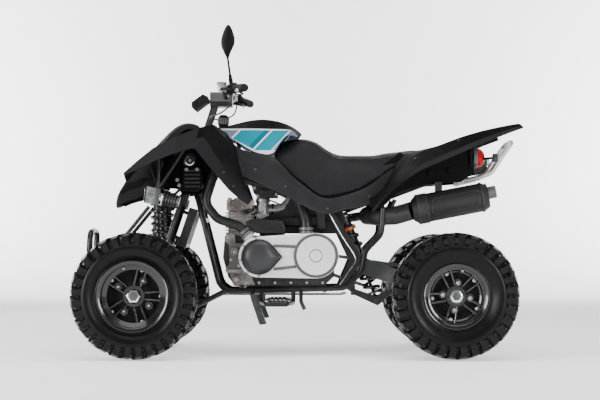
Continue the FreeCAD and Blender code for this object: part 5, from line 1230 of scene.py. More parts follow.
class QUAD_OT_handlebar(Operator):
    """Ribbed grips, master cylinders, levers, switches, clamp, pod and mirror"""
    bl_idname = "quad.handlebar"
    bl_label = "Handlebar"

    def execute(self, context):
        grips, black, alloy, bright = Shape(), Shape(), Shape(), Shape()
        for side in (LEFT, RIGHT):
            end = Vector((BAR_END.x, side * BAR_END.y, BAR_END.z))
            inward = (Vector((BAR_ELBOW.x, side * BAR_ELBOW.y, BAR_ELBOW.z)) - end).normalized()
            self.grip(grips, end, inward)
            self.switches(black, bright, end, inward, side)
            self.master_cylinder(black, alloy, bright, end, inward)
        fitted(grips, "ribbed_grips", "grip rubber", "steering", crease=0.45,
               replaces=["grips"])
        fitted(black, "switches_and_levers", "moulded black", "steering", bevel=0.0015,
               replaces=["controls"])
        fitted(alloy, "master_cylinders", "silver alloy", "steering", bevel=0.0012)
        fitted(bright, "control_screws", "plated steel", "steering")
        self.clamp_and_pod()
        self.mirror()
        return {"FINISHED"}

    def grip(self, shape, end, inward):
        """Rounded end, ribs and the inner collar of a grip."""
        profile = [(-0.0035, 0.005), (-0.0035, 0.0135), (-0.001, 0.0155), (0.004, 0.0165)]
        for k in range(GRIP_RIBS):
            start = 0.010 + (GRIP_LENGTH - 0.022) * k / GRIP_RIBS
            profile += [
                (start, GRIP_RADIUS), (start + 0.0042, GRIP_RADIUS),
                (start + 0.0048, GRIP_RADIUS - 0.0014), (start + 0.0064, GRIP_RADIUS - 0.0014)]
        profile += [(GRIP_LENGTH - 0.006, GRIP_RADIUS), (GRIP_LENGTH - 0.003, GRIP_RADIUS + 0.0045),
                    (GRIP_LENGTH + 0.002, GRIP_RADIUS + 0.005),
                    (GRIP_LENGTH + 0.004, GRIP_RADIUS + 0.003), (GRIP_LENGTH + 0.004, 0.0115)]
        shape.lathe(profile, 36, along_axis(end, inward), cap=True)

    def switches(self, black, bright, end, inward, side):
        """Two-part switch housing with keys, and the curved lever ahead of it."""
        start = end + inward * (GRIP_LENGTH + 0.008)
        world = along_axis(start, inward)
        black.lathe([(0.0, 0.0115), (0.0, 0.018), (0.002, 0.0205), (0.0155, 0.0215),
                     (0.0165, 0.0205), (0.0175, 0.0205), (0.0185, 0.0215), (0.031, 0.0205),
                     (0.034, 0.018), (0.034, 0.0115)], 32, world, closed=True)
        housing = start + inward * 0.017
        black.brick(housing + Vector((0.004, 0, 0.016)), (0.015, 0.013, 0.008))
        black.brick(housing + Vector((-0.014, 0, -0.014)), (0.010, 0.012, 0.010))
        for k in (-1, 0, 1):
            knob(bright, housing + Vector((0.019, side * 0.008 * k, 0.016)), (1, 0, 0),
                 ((0.0, 0.0036), (0.004, 0.003)), 12)
        thumb = [housing + Vector((0.016, 0, -0.010)),
                 housing + Vector((0.032, 0, -0.014)) - inward * 0.006,
                 housing + Vector((0.040, 0, -0.024)) - inward * 0.010]
        black.pipe(thumb, lambda share: 0.0058 - 0.0018 * share, 10)
        base = start + inward * 0.048
        line = [base + Vector((-0.034, 0, 0)), base + Vector((-0.046, 0, -0.001)) - inward * 0.052,
                end + Vector((-0.046, 0, -0.006)) + inward * 0.040,
                end + Vector((-0.030, 0, -0.010)) + inward * 0.008]
        black.pipe(line, lambda share: 0.0058 - 0.0016 * share, 12)
        knob(bright, line[-1] + inward * 0.004, -inward, (
            (-0.004, 0.0045), (0.0, 0.0072), (0.006, 0.0088), (0.011, 0.0072), (0.0135, 0.003)), 20)

    def master_cylinder(self, black, alloy, bright, end, inward):
        """Clamp, barrel and reservoir with a screwed lid, and the lever's pivot."""
        base = end + inward * (GRIP_LENGTH + 0.056)
        alloy.lathe([(0.0, 0.0115), (0.0, 0.0165), (0.0015, 0.0175), (0.0235, 0.0175),
                     (0.025, 0.0165), (0.025, 0.0115)], 32, along_axis(base, inward), closed=True)
        barrel = base + Vector((-0.026, -0.004, 0.002)) - inward * 0.014
        knob(alloy, barrel, inward, (
            (0.0, 0.010), (0.002, 0.0115), (0.052, 0.0115), (0.054, 0.008), (0.060, 0.008)), 24)
        cup = base + Vector((-0.033, 0.007, 0.012))
        knob(alloy, cup, (0, 0, 1), ((-0.0115, 0.012), (-0.008, 0.0145), (0.004, 0.0185),
                                     (0.007, 0.0205), (0.0095, 0.0205)), 28)
        knob(black, cup, (0, 0, 1), ((0.0095, 0.0208), (0.0135, 0.0208), (0.0150, 0.0195),
                                     (0.0155, 0.0130), (0.0140, 0.0120), (0.0140, 0.0060)), 28)
        for angle in turns(3):
            knob(bright, cup + Vector((0.0165 * cos(angle), 0.0165 * sin(angle), 0.0150)),
                 (0, 0, 1), ((-0.001, 0.0026), (0.0008, 0.0024)), 12)
        pivot = base + Vector((-0.040, 0, 0))
        knob(alloy, pivot - Vector((0, 0, 0.010)), (0, 0, 1), ((0.0, 0.0095), (0.020, 0.0095)), 20)
        for lift in (-0.011, 0.009):
            bolt(bright, base + Vector((0.016, 0, lift)) + inward * 0.0125, (1, 0, 0), 0.007, 0.006)

    def clamp_and_pod(self):
        """Bolts of the bar's clamp, and the pod's window in its bezel."""
        middle = node_centre("instrument_pod")
        bolts = Shape()
        for y in (-0.032, 0.032):
            for x in (-0.316, -0.284):
                bolt(bolts, (x, y, CLAMP_TOP), (0, 0, 1), 0.010, 0.008)
        fitted(bolts, "clamp_bolts", "plated steel", "steering")
        lean = Matrix.Rotation(POD_LEAN, 3, "Y")
        face = Shape()
        face.brick(middle + lean @ Vector((0.002, 0, 0.0205)), (0.027, 0.040, 0.0016), lean)
        fitted(face, "pod_window", "dark glass", "steering", bevel=0.0012)
        bezel = Shape()
        bezel.brick(middle + lean @ Vector((0.0, 0, 0.0182)), (0.032, 0.046, 0.0022), lean)
        fitted(bezel, "pod_bezel", "cap plastic", "steering", bevel=0.002)

    def mirror(self):
        """Leaf-shaped head turned towards the rider, with its glass, on a thin stem."""
        low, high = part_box("mirror")
        foot = Vector((low.x + 0.0315, high.y - 0.0085, low.z - 0.034))
        neck = Vector((-0.288, low.y + 0.055, 1.222))
        middle = Vector((-0.286, neck.y, 0))
        turn = Matrix.Rotation(radians(28), 3, "Z")
        shape = Shape()
        shape.pipe([foot, foot + (neck - foot) * 0.5, neck], lambda share: 0.0056 - 0.0016 * share)
        knob(shape, foot, neck - foot, (
            (0.0, 0.0088), (0.046, 0.0086), (0.049, 0.0072), (0.062, 0.0066), (0.064, 0.0050)), 20)
        rings = []
        for z, depth, width in MIRROR_LEAF:
            ring = []
            for angle in turns(28):
                ahead = cos(angle) * depth * MM * (0.35 if cos(angle) > 0 else 1.0)
                across = sin(angle) * width * MM
                ring.append(middle + turn @ Vector((ahead, across, 0)) + Vector((0, 0, z)))
            rings.append(ring)
        shape.grid(rings, cap=True)
        fitted(shape, "mirror_leaf", "moulded black", "steering", crease=0.9,
               replaces=["mirror"])
        glass = Shape()
        rings = []
        for lift, share in ((-1.0, 0.90), (0.9, 0.88)):
            edge = [(way * width * share * MM, depth * 0.35 + lift, z) for way, rows in (
                (1, MIRROR_LEAF[2:-1]), (-1, MIRROR_LEAF[-2:1:-1])) for z, depth, width in rows]
            rings.append([middle + turn @ Vector((ahead * MM, across, 0)) +
                          Vector((0, 0, 1.285 + (z - 1.285) * share)) for across, ahead, z in edge])
        glass.grid(rings, cap=True)
        fitted(glass, "mirror_pane", "mirror glass", "steering")


# Lamps and tail


LAMP_LEAN = atan2(0.616 - 0.607, 0.690 - 0.623)
INDICATOR = (0.8175, 0.200, 0.810)


class QUAD_OT_lamps(Operator):
    """Headlamp lenses, rings and ribbed boots, tail lamp frames and indicators"""
    bl_idname = "quad.lamps"
    bl_label = "Lamps"

    def execute(self, context):
        lens, ring, boot = Shape(), Shape(), Shape()
        low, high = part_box("headlamps")
        lamp_y = high.y - 0.042
        turn = Matrix.Rotation(LAMP_LEAN, 3, "Y")
        for side in (LEFT, RIGHT):
            face = Vector((low.x + 0.0025, side * lamp_y, high.z - 0.0335))
            boot.brick(face + Vector((0.001, 0, 0)), (0.004, 0.0415, 0.0335), turn)
            lens.brick(face - Vector((0.0015, 0, 0)), (0.0038, 0.0355, 0.0275), turn)
            for reach, lift in ((0.0235, -0.0048), (0.0125, -0.0062)):
                ring.lathe([(0.0, reach - 0.0028), (0.0022, reach - 0.0022), (0.0034, reach),
                            (0.0022, reach + 0.0018), (0.0, reach + 0.0022)], 36,
                           along_axis(face + Vector((lift + 0.0018, 0, 0)), (-1, 0, 0)))
            knob(boot, face + Vector((-0.0046, 0, 0)), (-1, 0, 0),
                 ((0.0, 0.0085), (0.0022, 0.0078), (0.0034, 0.005), (0.0036, 0.002)), 24)
            world = along_axis((-0.564, side * lamp_y, 0.648), (0.022, 0, -0.005))
            ring.lathe([(0.004, 0.034), (0.004, 0.0362), (0.007, 0.0375), (0.016, 0.0375),
                        (0.019, 0.036), (0.019, 0.034)], 40, world, closed=True)
            profile = []
            for k in range(5):
                reach = 0.0322 - 0.0018 * k
                profile += [(0.002 + 0.011 * k, reach - 0.0035), (0.005 + 0.011 * k, reach),
                            (0.009 + 0.011 * k, reach), (0.012 + 0.011 * k, reach - 0.0035)]
            boot.lathe(profile, 36, along_axis((-0.543, side * lamp_y, 0.643), (0.063, 0, -0.016)))
        fitted(lens, "headlamp_lenses", "clear lens", bevel=0.002)
        fitted(ring, "headlamp_rings", "chrome", crease=0.4)
        fitted(boot, "headlamp_boots", "hose rubber")
        self.tail()
        return {"FINISHED"}

    def tail(self):
        """Oval frames round the tail lamps, and the two indicators."""
        low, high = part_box("tail_lamps")
        middle_z = node_centre("tail_lamps").z
        frames, lenses, bodies = Shape(), Shape(), Shape()
        for side in (LEFT, RIGHT):
            lamp_y = side * (high.y - 0.034)
            rings = []
            for grow, ahead in ((0.0002, -0.010), (0.0045, -0.009), (0.0055, 0.001),
                                (0.003, 0.0060), (0.0003, 0.0055)):
                rings.append([Vector((low.x + ahead, lamp_y + (0.034 + grow) * cos(a),
                                      middle_z + (0.038 + grow) * sin(a))) for a in turns(36)])
            frames.grid(rings, close_ends=True)
            lamp_x, indicator_y, indicator_z = INDICATOR
            knob(lenses, (lamp_x, side * indicator_y, indicator_z), (1, 0, 0), (
                (0.0, 0.0162), (0.006, 0.0155), (0.011, 0.0125), (0.0135, 0.007), (0.014, 0.002)),
                28)
            knob(bodies, (lamp_x - 0.0175, side * indicator_y, indicator_z), (1, 0, 0),
                 ((0.0, 0.0176), (0.017, 0.0176), (0.018, 0.0165)), 28)
        fitted(frames, "tail_lamp_frames", "grey ring")
        fitted(lenses, "indicator_lenses", "clear lens", crease=0.6)
        fitted(bodies, "indicator_bodies", "cap plastic")


# The silencer's can: its radius, and its ends as seen from the rear axle.
CAN_RADIUS = 0.059
CAN_FRONT, CAN_REAR = (-0.152, -0.185, 0.594), (0.158, -0.185, 0.654)


def can_point(world, side, up, along, angle, radius):
    """A point round the silencer's can: angle runs from its outer side upwards."""
    return world @ (
        Vector((0, along, 0)) + (side * cos(angle) + up * sin(angle)) * radius)


class QUAD_OT_silencer(Operator):
    """Recessed side panel, bands, rivets and tip of the silencer"""
    bl_idname = "quad.silencer"
    bl_label = "Silencer"

    def execute(self, context):
        start, end = (Vector((REAR_AXLE_X + x, y, z)) for x, y, z in (CAN_FRONT, CAN_REAR))
        along = (end - start).normalized()
        length = (end - start).length
        world = along_axis(start, along)
        up = (world.inverted().to_3x3() @ Vector((0, 0, 1))).normalized()
        side = (world.inverted().to_3x3() @ Vector((0, -1, 0))).normalized()
        reach = CAN_RADIUS
        panel, trim = Shape(), Shape()
        rim = [(0.078, 0.50), (0.094, 0.62), (length - 0.050, 0.62), (length - 0.036, 0.45),
               (length - 0.036, -0.45), (length - 0.052, -0.60), (0.094, -0.60), (0.078, -0.46)]
        middle = length * 0.54
        rings = []
        for inset, radius in ((0.0, reach - 0.001), (0.0, reach + 0.0022), (0.10, reach + 0.0022),
                              (0.14, reach + 0.0004), (0.30, reach + 0.0003)):
            ring = []
            for (y_a, a_a), (y_b, a_b) in zip(rim, rim[1:] + rim[:1]):
                for k in range(8):
                    share = k / 8
                    y, angle = y_a + (y_b - y_a) * share, a_a + (a_b - a_a) * share
                    drawn = middle + (y - middle) * (1 - inset * 0.5)
                    ring.append(can_point(world, side, up, drawn, angle * (1 - inset), radius))
            rings.append(ring)
        panel.grid(rings)
        for y in (0.024, 0.060, length - 0.026):
            trim.band(y - 0.004, y + 0.004, reach - 0.001, reach + 0.0032, world, 48)
        for angle in turns(8, 0.2):
            knob(trim, can_point(world, side, up, length - 0.012, angle, reach * 0.88), along,
                 ((-0.002, 0.004), (0.004, 0.0036), (0.005, 0.002)), 10)
        fitted(panel, "silencer_panel", "heatproof black", crease=0.4)
        fitted(trim, "silencer_bands", "heatproof black")
        tip = Shape()
        world = along_axis(end + along * 0.014 + Vector((0, 0, 0.012)), along)
        tip.lathe([(-0.018, 0.0255), (0.016, 0.0255), (0.019, 0.0245), (0.019, 0.0215),
                   (-0.018, 0.0212)], 36, world, closed=True)
        fitted(tip, "tail_pipe_tip", "grey ring")
        return {"FINISHED"}


# Front arch


def mirrored_sides(shape, outline, y_low, y_high, chamfer=0.0012):
    """The same slab on both sides."""
    for side in (LEFT, RIGHT):
        shape.slab(outline, side * y_low, side * y_high, chamfer)


# The horn's x and z.
HORN = (-0.445, 0.800)


class QUAD_OT_front_arch(Operator):
    """Inner guards, horn, control box and stays between the nose and the front wheels"""
    bl_idname = "quad.front_arch"
    bl_label = "Front arch"

    def execute(self, context):
        guard = Shape()
        mirrored_sides(guard, [(-0.700, 0.752), (-0.425, 0.852), (-0.330, 0.800), (-0.384, 0.716),
                               (-0.404, 0.664), (-0.478, 0.660), (-0.500, 0.690), (-0.600, 0.700),
                               (-0.650, 0.668), (-0.735, 0.628)], 0.132, 0.137)
        mirrored_sides(guard, [(-0.738, 0.662), (-0.683, 0.748), (-0.612, 0.728), (-0.648, 0.694),
                               (-0.700, 0.678)], 0.150, 0.160, 0.003)
        mirrored_sides(guard, [(-0.470, 0.772), (-0.398, 0.772), (-0.392, 0.690), (-0.420, 0.672),
                               (-0.478, 0.676)], 0.137, 0.196, 0.003)
        fitted(guard, "inner_guards", "moulded black", bevel=0.0015)
        fittings = Shape()
        for k in range(5):
            mirrored_sides(fittings, [
                (-0.466, 0.690 + 0.016 * k), (-0.402, 0.690 + 0.016 * k),
                (-0.402, 0.696 + 0.016 * k), (-0.466, 0.696 + 0.016 * k)], 0.195, 0.199, 0.001)
        for side in (LEFT, RIGHT):
            knob(fittings, (HORN[0], side * 0.136, HORN[1]), (0, side, 0),
                 ((0.0, 0.030), (0.030, 0.030), (0.034, 0.026), (0.044, 0.026), (0.048, 0.022)), 36)
            for foot, head in (((-0.600, 0.150, 0.640), (-0.560, 0.150, 0.800)),
                               ((-0.520, 0.160, 0.650), (-0.470, 0.150, 0.700))):
                fittings.pipe([(x, side * y, z) for x, y, z in (foot, head)], 0.006, 10, smooth=1)
        fitted(fittings, "arch_fittings", "powder black")
        bright = Shape()
        for side in (LEFT, RIGHT):
            horn = (HORN[0], side * 0.184, HORN[1])
            bright.lathe([(0.0, 0.015), (0.001, 0.021), (0.004, 0.021), (0.005, 0.017),
                          (0.002, 0.014)], 36, along_axis(horn, (0, side, 0)), closed=True)
            knob(bright, horn, (0, side, 0), ((0.0, 0.007), (0.005, 0.006)), 16)
            for x, z in ((-0.500, 0.722), (-0.492, 0.700), (-0.415, 0.762), (-0.458, 0.762)):
                bolt(bright, (x, side * (0.137 if x < -0.48 else 0.196), z), (0, side, 0), 0.011,
                     0.007)
        fitted(bright, "arch_bright_bits", "plated steel")
        tubes = Shape()
        for side in (LEFT, RIGHT):
            tubes.pipe([(-0.394, side * 0.120, 0.556), (-0.412, side * 0.105, 0.630),
                        (-0.448, side * 0.066, 0.735)], 0.0125, 16)
            tubes.slab([(-0.196, 0.252), (-0.170, 0.252), (-0.126, 0.134), (-0.150, 0.130)],
                       side * 0.290, side * 0.300, 0.002)
        fitted(tubes, "down_tube_heads", "powder black", crease=0.6)
        return {"FINISHED"}


# Bodywork trim


# Push pins: the node or piece they sit in, x and z.
FASTENERS = (
    ("side_panels", -0.175, 0.760), ("side_panels", -0.050, 0.690),
    ("side_panels", 0.120, 0.600), ("side_panels", 0.290, 0.650),
    ("creased_fenders", -0.300, 0.745), ("creased_fenders", -0.262, 0.690),
    ("rear_fender", 0.470, 0.800), ("rear_fender", 0.640, 0.870),
)


FUEL_CAP_FOOT, FUEL_CAP_LEAN = (-0.318, 0, 0.925), (0.06, 0, 1)
COOLER_MIDDLE, COOLER_LEAN = (-0.458, 0, 0.525), (0.250, 0, 0.750)


class QUAD_OT_body_trim(Operator):
    """Push pins of the panels, ribs of the fuel cap and frame of the cooler"""
    bl_idname = "quad.body_trim"
    bl_label = "Body trim"

    def execute(self, context):
        pins = Shape()
        for node, x, z in FASTENERS:
            for side in (LEFT, RIGHT):
                place, normal = on_surface(node, x, z, side)
                knob(pins, place, normal, ((-0.002, 0.0052), (0.0010, 0.0052), (0.0018, 0.0042),
                                           (0.0010, 0.0025), (0.0010, 0.0008)), 20)
        fitted(pins, "panel_pins", "gloss black")
        ribs = Shape()
        lean = Vector(FUEL_CAP_LEAN).normalized()
        world = along_axis(Vector(FUEL_CAP_FOOT) + lean * 0.034, lean)
        for angle in turns(18):
            spot = world @ around(0.0222, angle, 0.015)
            ribs.pipe([spot - lean * 0.013, spot + lean * 0.014], 0.0022, 8, smooth=1)
        fitted(ribs, "fuel_cap_ribs", "cap plastic")
        self.cooler()
        return {"FINISHED"}

    def cooler(self):
        """Side tanks and rails round the cooler's core."""
        up = Vector(COOLER_LEAN).normalized()
        lean = Matrix.Rotation(atan2(up.x, up.z), 3, "Y")
        middle = Vector(COOLER_MIDDLE)
        rails = Shape()
        for side in (LEFT, RIGHT):
            rails.brick(middle + Vector((0, side * 0.121, 0)), (0.0185, 0.0115, 0.0815), lean)
        for way in (-1, 1):
            rails.brick(middle + lean @ Vector((0, 0, way * 0.0745)), (0.0185, 0.128, 0.008), lean)
        fitted(rails, "cooler_rails", "powder black", bevel=0.002)


# Rear arch


class QUAD_OT_rear_arch(Operator):
    """Inner guards under the rear fenders, the seat's base and the lamp backs"""
    bl_idname = "quad.rear_arch"
    bl_label = "Rear arch"

    def execute(self, context):
        guard = Shape()
        mirrored_sides(guard, [
            (0.299, 0.592), (0.369, 0.654), (0.438, 0.722), (0.520, 0.772), (0.602, 0.806),
            (0.716, 0.850), (0.726, 0.756), (0.672, 0.712), (0.582, 0.706), (0.500, 0.698),
            (0.418, 0.674), (0.352, 0.612)], 0.160, 0.166)
        mirrored_sides(guard, [
            (0.150, 0.700), (0.304, 0.750), (0.386, 0.810), (0.420, 0.836), (0.461, 0.806),
            (0.420, 0.728), (0.337, 0.640), (0.214, 0.590)], 0.150, 0.158)
        for side in (LEFT, RIGHT):
            guard.brick((0.716, side * 0.150, 0.812), (0.008, 0.030, 0.036))
            for x, z in ((0.545, 0.752), (0.625, 0.760)):
                knob(guard, (x, side * 0.165, z), (0, side, 0),
                     ((0.0, 0.014), (0.010, 0.012), (0.012, 0.006)), 20)
            guard.slab([(0.640, 0.742), (0.728, 0.758), (0.732, 0.742), (0.650, 0.722)],
                       side * 0.128, side * 0.140, 0.002)
            welt = [(-0.098, 0.806), (-0.027, 0.744), (0.046, 0.686), (0.098, 0.655),
                    (0.150, 0.652), (0.203, 0.665), (0.281, 0.698), (0.354, 0.745)]
            guard.pipe([Vector((x, side * 0.176, z)) for x, z in welt], 0.011, 12)
        fitted(guard, "rear_guards", "moulded black", bevel=0.0015)
        return {"FINISHED"}


# Creased body panels


# Rows from the fender's front to its rear, each from the tank out to the rim: x from the front
# axle, y and z, in millimetres.
FRONT_FENDER = (
    ((-57, 215, 712), (-46, 420, 738), (-43, 427, 734), (-40, 431, 729)),
    ((8, 190, 790), (8, 427, 785), (13, 434, 770), (20, 439, 757)),
    ((78, 172, 852), (73, 424, 838), (78, 434, 811), (86, 441, 788)),
    ((158, 162, 900), (165, 404, 888), (163, 426, 848), (162, 440, 818)),
    ((248, 162, 935), (253, 335, 926), (242, 392, 878), (228, 433, 838)),
    ((303, 165, 948), (300, 240, 943), (274, 380, 884), (240, 426, 836)),
    ((356, 200, 912), (350, 276, 886), (316, 370, 816), (286, 406, 778)),
    ((396, 224, 852), (390, 282, 812), (358, 345, 762), (326, 376, 728)),
    ((410, 248, 772), (408, 280, 746), (394, 314, 698), (371, 334, 674)),
    ((436, 260, 700), (433, 272, 690), (417, 296, 656), (408, 300, 641)),
    ((460, 272, 634), (457, 276, 629), (451, 284, 621), (444, 285, 616)),
)
FENDER_WALL = 0.0035


def fender_side(shape, side):
    """Both faces of one fender, with a thin rolled edge."""
    rows = [[Vector((FRONT_AXLE_X + x * MM, side * y * MM, z * MM)) for x, y, z in row]
            for row in FRONT_FENDER]
    count, width = len(rows), len(rows[0])
    inner = []
    for i, row in enumerate(rows):
        line = []
        for j, point in enumerate(row):
            along = rows[min(i + 1, count - 1)][j] - rows[max(i - 1, 0)][j]
            across = row[min(j + 1, width - 1)] - row[max(j - 1, 0)]
            normal = along.cross(across).normalized()
            line.append(point + normal * (
                FENDER_WALL if normal.z < 0 or normal.y * side < 0 else -FENDER_WALL))
        inner.append(line)
    shape.grid([row + back[::-1] for row, back in zip(rows, inner)], cap=True)


class QUAD_OT_front_fender(Operator):
    """Faceted front fenders with crisp creases"""
    bl_idname = "quad.front_fender"
    bl_label = "Front fenders"

    def execute(self, context):
        shape = Shape()
        for side in (LEFT, RIGHT):
            fender_side(shape, side)
        fitted(shape, "creased_fenders", "fender plastic", crease=0.3, bevel=0.0016,
               replaces=["front_fender"])
        return {"FINISHED"}


# Saddle


class SaddleSettings(PropertyGroup):
    voxel: FloatProperty(name="Mesh size", description="Edge length of the saddle's mesh",
                         default=0.007, min=0.004, unit="LENGTH")
    swell: FloatProperty(name="Swell", description="Most that the padding may rise", default=0.006,
                         min=0.0, unit="LENGTH")
    pressure: FloatProperty(
        name="Pressure", description="Push of the padding against its cover", default=4.0)


COVER_FRAMES = 20


def applied(piece):
    """Makes a piece's modifiers part of its mesh."""
    shown = piece.evaluated_get(bpy.context.evaluated_depsgraph_get())
    done = bpy.data.meshes.new_from_object(shown)
    piece.modifiers.clear()
    piece.data = done
    return piece


class QUAD_OT_saddle(Operator):
    """Padded vinyl saddle with a sewn line along each edge"""
    bl_idname = "quad.saddle"
    bl_label = "Saddle"

    def execute(self, context):
        settings = context.scene.quad_saddle
        pad = placed("saddle_pad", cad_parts["seat"].data.copy())
        remesh = pad.modifiers.new("even", "REMESH")
        remesh.mode = "VOXEL"
        remesh.voxel_size = settings.voxel
        smooth = pad.modifiers.new("soft", "SMOOTH")
        smooth.factor, smooth.iterations = 0.5, 1
        applied(pad)
        self.swelled(context, pad, settings)
        finer = pad.modifiers.new("finer", "SUBSURF")
        finer.levels = finer.render_levels = 1
        applied(pad)
        pad.data.materials.clear()
        pad.data.materials.append(finish("seat vinyl"))
        pad.data.shade_smooth()
        carried(pad, "root", ["seat"])
        self.seams(pad)
        return {"FINISHED"}

    def swelled(self, context, pad, settings):
        """Blows the cover up a little, with the underside held."""
        rest = [vertex.co.copy() for vertex in pad.data.vertices]
        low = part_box("seat")[0]
        held = pad.vertex_groups.new(name="underside")
        for index, point in enumerate(rest):
            if pad.data.vertices[index].normal.z < -0.3 or point.z < low.z + 0.02:
                held.add([index], 1.0, "REPLACE")
        cloth = pad.modifiers.new("cover", "CLOTH")
        cloth.settings.use_pressure = True
        cloth.settings.uniform_pressure_force = settings.pressure
        cloth.settings.effector_weights.gravity = 0.0
        cloth.settings.vertex_group_mass = "underside"
        cloth.point_cache.frame_start, cloth.point_cache.frame_end = 1, COVER_FRAMES
        for moment in range(1, COVER_FRAMES + 1):
            context.scene.frame_set(moment)
        shown = pad.evaluated_get(context.evaluated_depsgraph_get())
        blown = [vertex.co.copy() for vertex in shown.data.vertices]
        pad.modifiers.clear()
        for vertex, start, end in zip(pad.data.vertices, rest, blown):
            move = end - start
            if move.length > settings.swell:
                move = move.normalized() * settings.swell
            vertex.co = start + move
        context.scene.frame_set(1)

    def seams(self, pad):
        """Piping laid where each side meets the top."""
        piping = Shape()
        low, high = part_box("seat")
        for side in (LEFT, RIGHT):
            line = []
            for k in range(41):
                x = low.x + 0.030 + (high.x - low.x - 0.075) * k / 40
                spot = self.shoulder(pad, x, side)
                if spot:
                    line.append(spot)
            piping.pipe(line, 0.0016, 8, smooth=1)
        fitted(piping, "saddle_piping", "seat vinyl", crease=0.6)

    def shoulder(self, pad, x, side):
        """The point of the saddle's edge that lies furthest up and out."""
        way = Vector((0, side * 0.62, 0.78)).normalized()
        best = None
        for step in range(9):
            drop = 0.10 + 0.012 * step
            start = Vector((x, side * drop, 0.90)) + way * 0.2
            hit, place, _normal, _index = pad.ray_cast(start, -way)
            if hit and (best is None or place.dot(way) > best.dot(way)):
                best = place
        return best


FOLD_CREASE, PART_CREASE = 0.16, 0.5


class QUAD_OT_carried_nodes(Operator):
    """Finishes of the pieces that keep their construction shape"""
    bl_idname = "quad.carried_nodes"
    bl_label = "Finishes"

    looks = {
        "powder black": "lower_frame upper_frame front_frame front_bumper suspension_arms "
                        "footrests tail_bracket handlebar front_shocks rear_shock skid_plate",
        "stem and clamp": "steering_stem",
        "charcoal plastic": "side_panels",
        "moulded black": "airbox fuel_cap instrument_pod battery_tray tail_stays",
        "fender plastic": "nose_cowl rear_fender",
        "lamp shell": "headlamps",
        "gloss black": "front_hub_left front_hub_right",
        "cast alloy": "cylinder knuckle_left knuckle_right",
        "silver alloy": "carburettor",
        "painted case": "crankcase",
        "grey ring": "swingarm",
        "brushed cover alloy": "belt_cover",
        "cap plastic": "shock_linkage",
        "hose rubber": "cooling_ducts",
        "heatproof black": "exhaust_pipe silencer",
        "dull steel": "drive_chain rear_axle",
        "plated steel": "tie_rod_left tie_rod_right",
        "satin rail": "grab_bar",
        "red lens": "tail_lamps",
        "cooler core": "radiator",
        "tank graphic": "tank_cover",
    }
    bodywork = ("nose_cowl", "side_panels", "rear_fender", "tank_cover")

    def execute(self, context):
        for look, nodes in self.looks.items():
            for name in nodes.split():
                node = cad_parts[name]
                node.data.materials.clear()
                node.data.materials.append(finish(look))
                node.data.shade_smooth()
                node.data.set_sharp_from_angle(
                    angle=FOLD_CREASE if name in self.bodywork else PART_CREASE)
        return {"FINISHED"}


class ColourSettings(PropertyGroup):
    stripe_teal: FloatVectorProperty(name="Teal", description="Main stripe of the tank",
                                     subtype="COLOR", default=(0.0, 0.19, 0.26))
    stripe_white: FloatVectorProperty(name="White", description="Edges of the stripes",
                                      subtype="COLOR", default=(0.62, 0.64, 0.68))
    stripe_slate: FloatVectorProperty(name="Slate", description="Second stripe of the tank",
                                      subtype="COLOR", default=(0.13, 0.16, 0.22))


# Stage


class StageSettings(PropertyGroup):
    camera_height: FloatProperty(
        name="Camera height", description="Height of the lens above the floor", default=0.465,
        unit="LENGTH")
    camera_distance: FloatProperty(
        name="Camera distance", description="Lens to the machine's middle plane", default=7.0,
        unit="LENGTH")
    focal: FloatProperty(
        name="Focal length", description="Lens focal length in millimetres", default=99.5)
    room_light: FloatProperty(
        name="Room light", description="Strength of the light from all around", default=0.3,
        min=0.0)
    lift: FloatProperty(
        name="Lift", description="Upward shift of the view, as a share of its width", default=0.07)


# The floor's reach ahead and to each side, the radius of its curved back and the back's top.
FLOOR_FRONT, FLOOR_SIDE, FLOOR_BEND, BACK_TOP = 16, 20, 7, 14
# Name, place, aim, width and height, and power of each light.
LIGHTS = (
    ("over_head", (0.0, -0.9, 3.4), (0, 0.0, 0), (5.0, 2.4), 130),
    ("camera_left", (-4.0, -3.7, 1.0), (-0.2, 0, 0.5), (1.6, 2.4), 280),
    ("camera_right", (3.4, -4.4, 1.4), (0.3, 0, 0.5), (1.4, 2.2), 190),
    ("far_left", (-3.2, 3.2, 1.8), (0, 0, 0.5), (1.2, 2.4), 45),
    ("backdrop_left", (-6.0, 8.5, 3.4), (-2.5, 14.0, 1.5), (3.0, 2.0), 1100),
    ("backdrop_right", (6.0, 8.5, 3.4), (2.5, 14.0, 1.5), (3.0, 2.0), 1100),
)
CAMERA_X = 0.008


def soft_light(name, place, aim, size, power):
    """A white rectangular light that faces a point."""
    data = bpy.data.lights.new(name, "AREA")
    data.shape = "RECTANGLE"
    data.size, data.size_y = size
    data.energy = power
    lamp = placed(name, data)
    lamp.location = place
    lamp.rotation_euler = (Vector(aim) - Vector(place)).to_track_quat("-Z", "Y").to_euler()


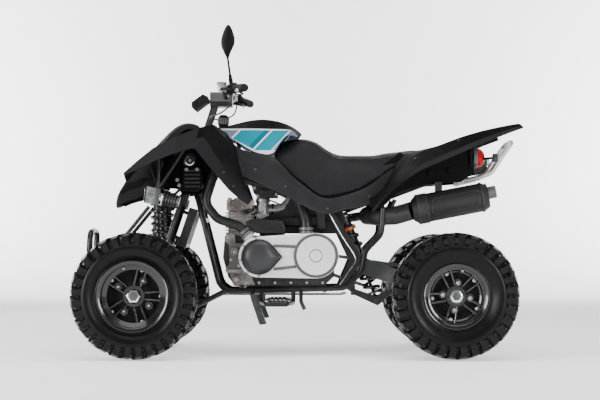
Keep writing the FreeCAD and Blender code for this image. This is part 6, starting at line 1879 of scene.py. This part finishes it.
class QUAD_OT_stage(Operator):
    """Pale floor with a curved back, soft lights and the camera"""
    bl_idname = "quad.stage"
    bl_label = "Stage"

    def execute(self, context):
        settings = context.scene.quad_stage
        shape = Shape()
        bend = [(FLOOR_BEND + FLOOR_BEND * sin(a), FLOOR_BEND - FLOOR_BEND * cos(a))
                for a in (k * pi / 24 for k in range(13))]
        section = [(-FLOOR_FRONT, 0), *bend, (2 * FLOOR_BEND, BACK_TOP)]
        rows = [[(x, y, z - 0.0005) for y, z in section] for x in (-FLOOR_SIDE, FLOOR_SIDE)]
        shape.grid(rows, close_ring=False)
        floor = shape.object("studio_floor", "studio paper", 3.0)
        world = bpy.data.worlds.new("studio")
        world.use_nodes = True
        room = world.node_tree.nodes["Background"].inputs
        room["Color"].default_value = (0.97, 0.98, 1.0, 1)
        room["Strength"].default_value = settings.room_light
        context.scene.world = world
        for light in LIGHTS:
            soft_light(*light)
        data = bpy.data.cameras.new("photo_view")
        data.lens = settings.focal
        data.sensor_width = 36.0
        data.shift_y = settings.lift
        data.clip_end = 60.0
        camera = placed("photo_view", data)
        camera.location = (CAMERA_X, -settings.camera_distance, settings.camera_height)
        camera.rotation_euler = (pi / 2, 0, 0)
        context.scene.camera = camera
        return {"FINISHED"}


class QUAD_PT_dressing(Panel):
    """Lists the pieces in the order in which they are made"""
    bl_idname = "QUAD_PT_dressing"
    bl_label = "Quad bike"
    bl_space_type = "VIEW_3D"
    bl_region_type = "UI"
    bl_category = "Quad bike"

    def draw(self, context):
        column = self.layout.column(align=True)
        for operator in OPERATORS:
            column.operator(operator.bl_idname)
        for group, kind in GROUPS.items():
            settings = getattr(context.scene, group)
            for name in kind.__annotations__:
                column.prop(settings, name)


OPERATORS = (QUAD_OT_stage, QUAD_OT_cables, QUAD_OT_carried_nodes, QUAD_OT_tyres, QUAD_OT_rims,
             QUAD_OT_belt_cover, QUAD_OT_engine, QUAD_OT_springs, QUAD_OT_handlebar, QUAD_OT_lamps,
             QUAD_OT_silencer, QUAD_OT_front_fender, QUAD_OT_front_arch, QUAD_OT_rear_arch,
             QUAD_OT_saddle, QUAD_OT_body_trim)
GROUPS = {"quad_stage": StageSettings, "quad_colours": ColourSettings, "quad_tyres": TyreSettings,
          "quad_rims": RimSettings, "quad_springs": SpringSettings, "quad_saddle": SaddleSettings}
CLASSES = (*GROUPS.values(), *OPERATORS, QUAD_PT_dressing)


def register():
    """Makes the pieces, their settings and the panel known."""
    for cls in CLASSES:
        bpy.utils.register_class(cls)
    for name, group in GROUPS.items():
        setattr(bpy.types.Scene, name, PointerProperty(type=group))


def unregister():
    """Takes back what register did."""
    for name in GROUPS:
        delattr(bpy.types.Scene, name)
    for cls in reversed(CLASSES):
        bpy.utils.unregister_class(cls)


def main():
    """Makes every piece in order."""
    register()
    for operator in OPERATORS:
        group, name = operator.bl_idname.split(".")
        getattr(getattr(bpy.ops, group), name)()


if __name__ == "__main__":
    main()
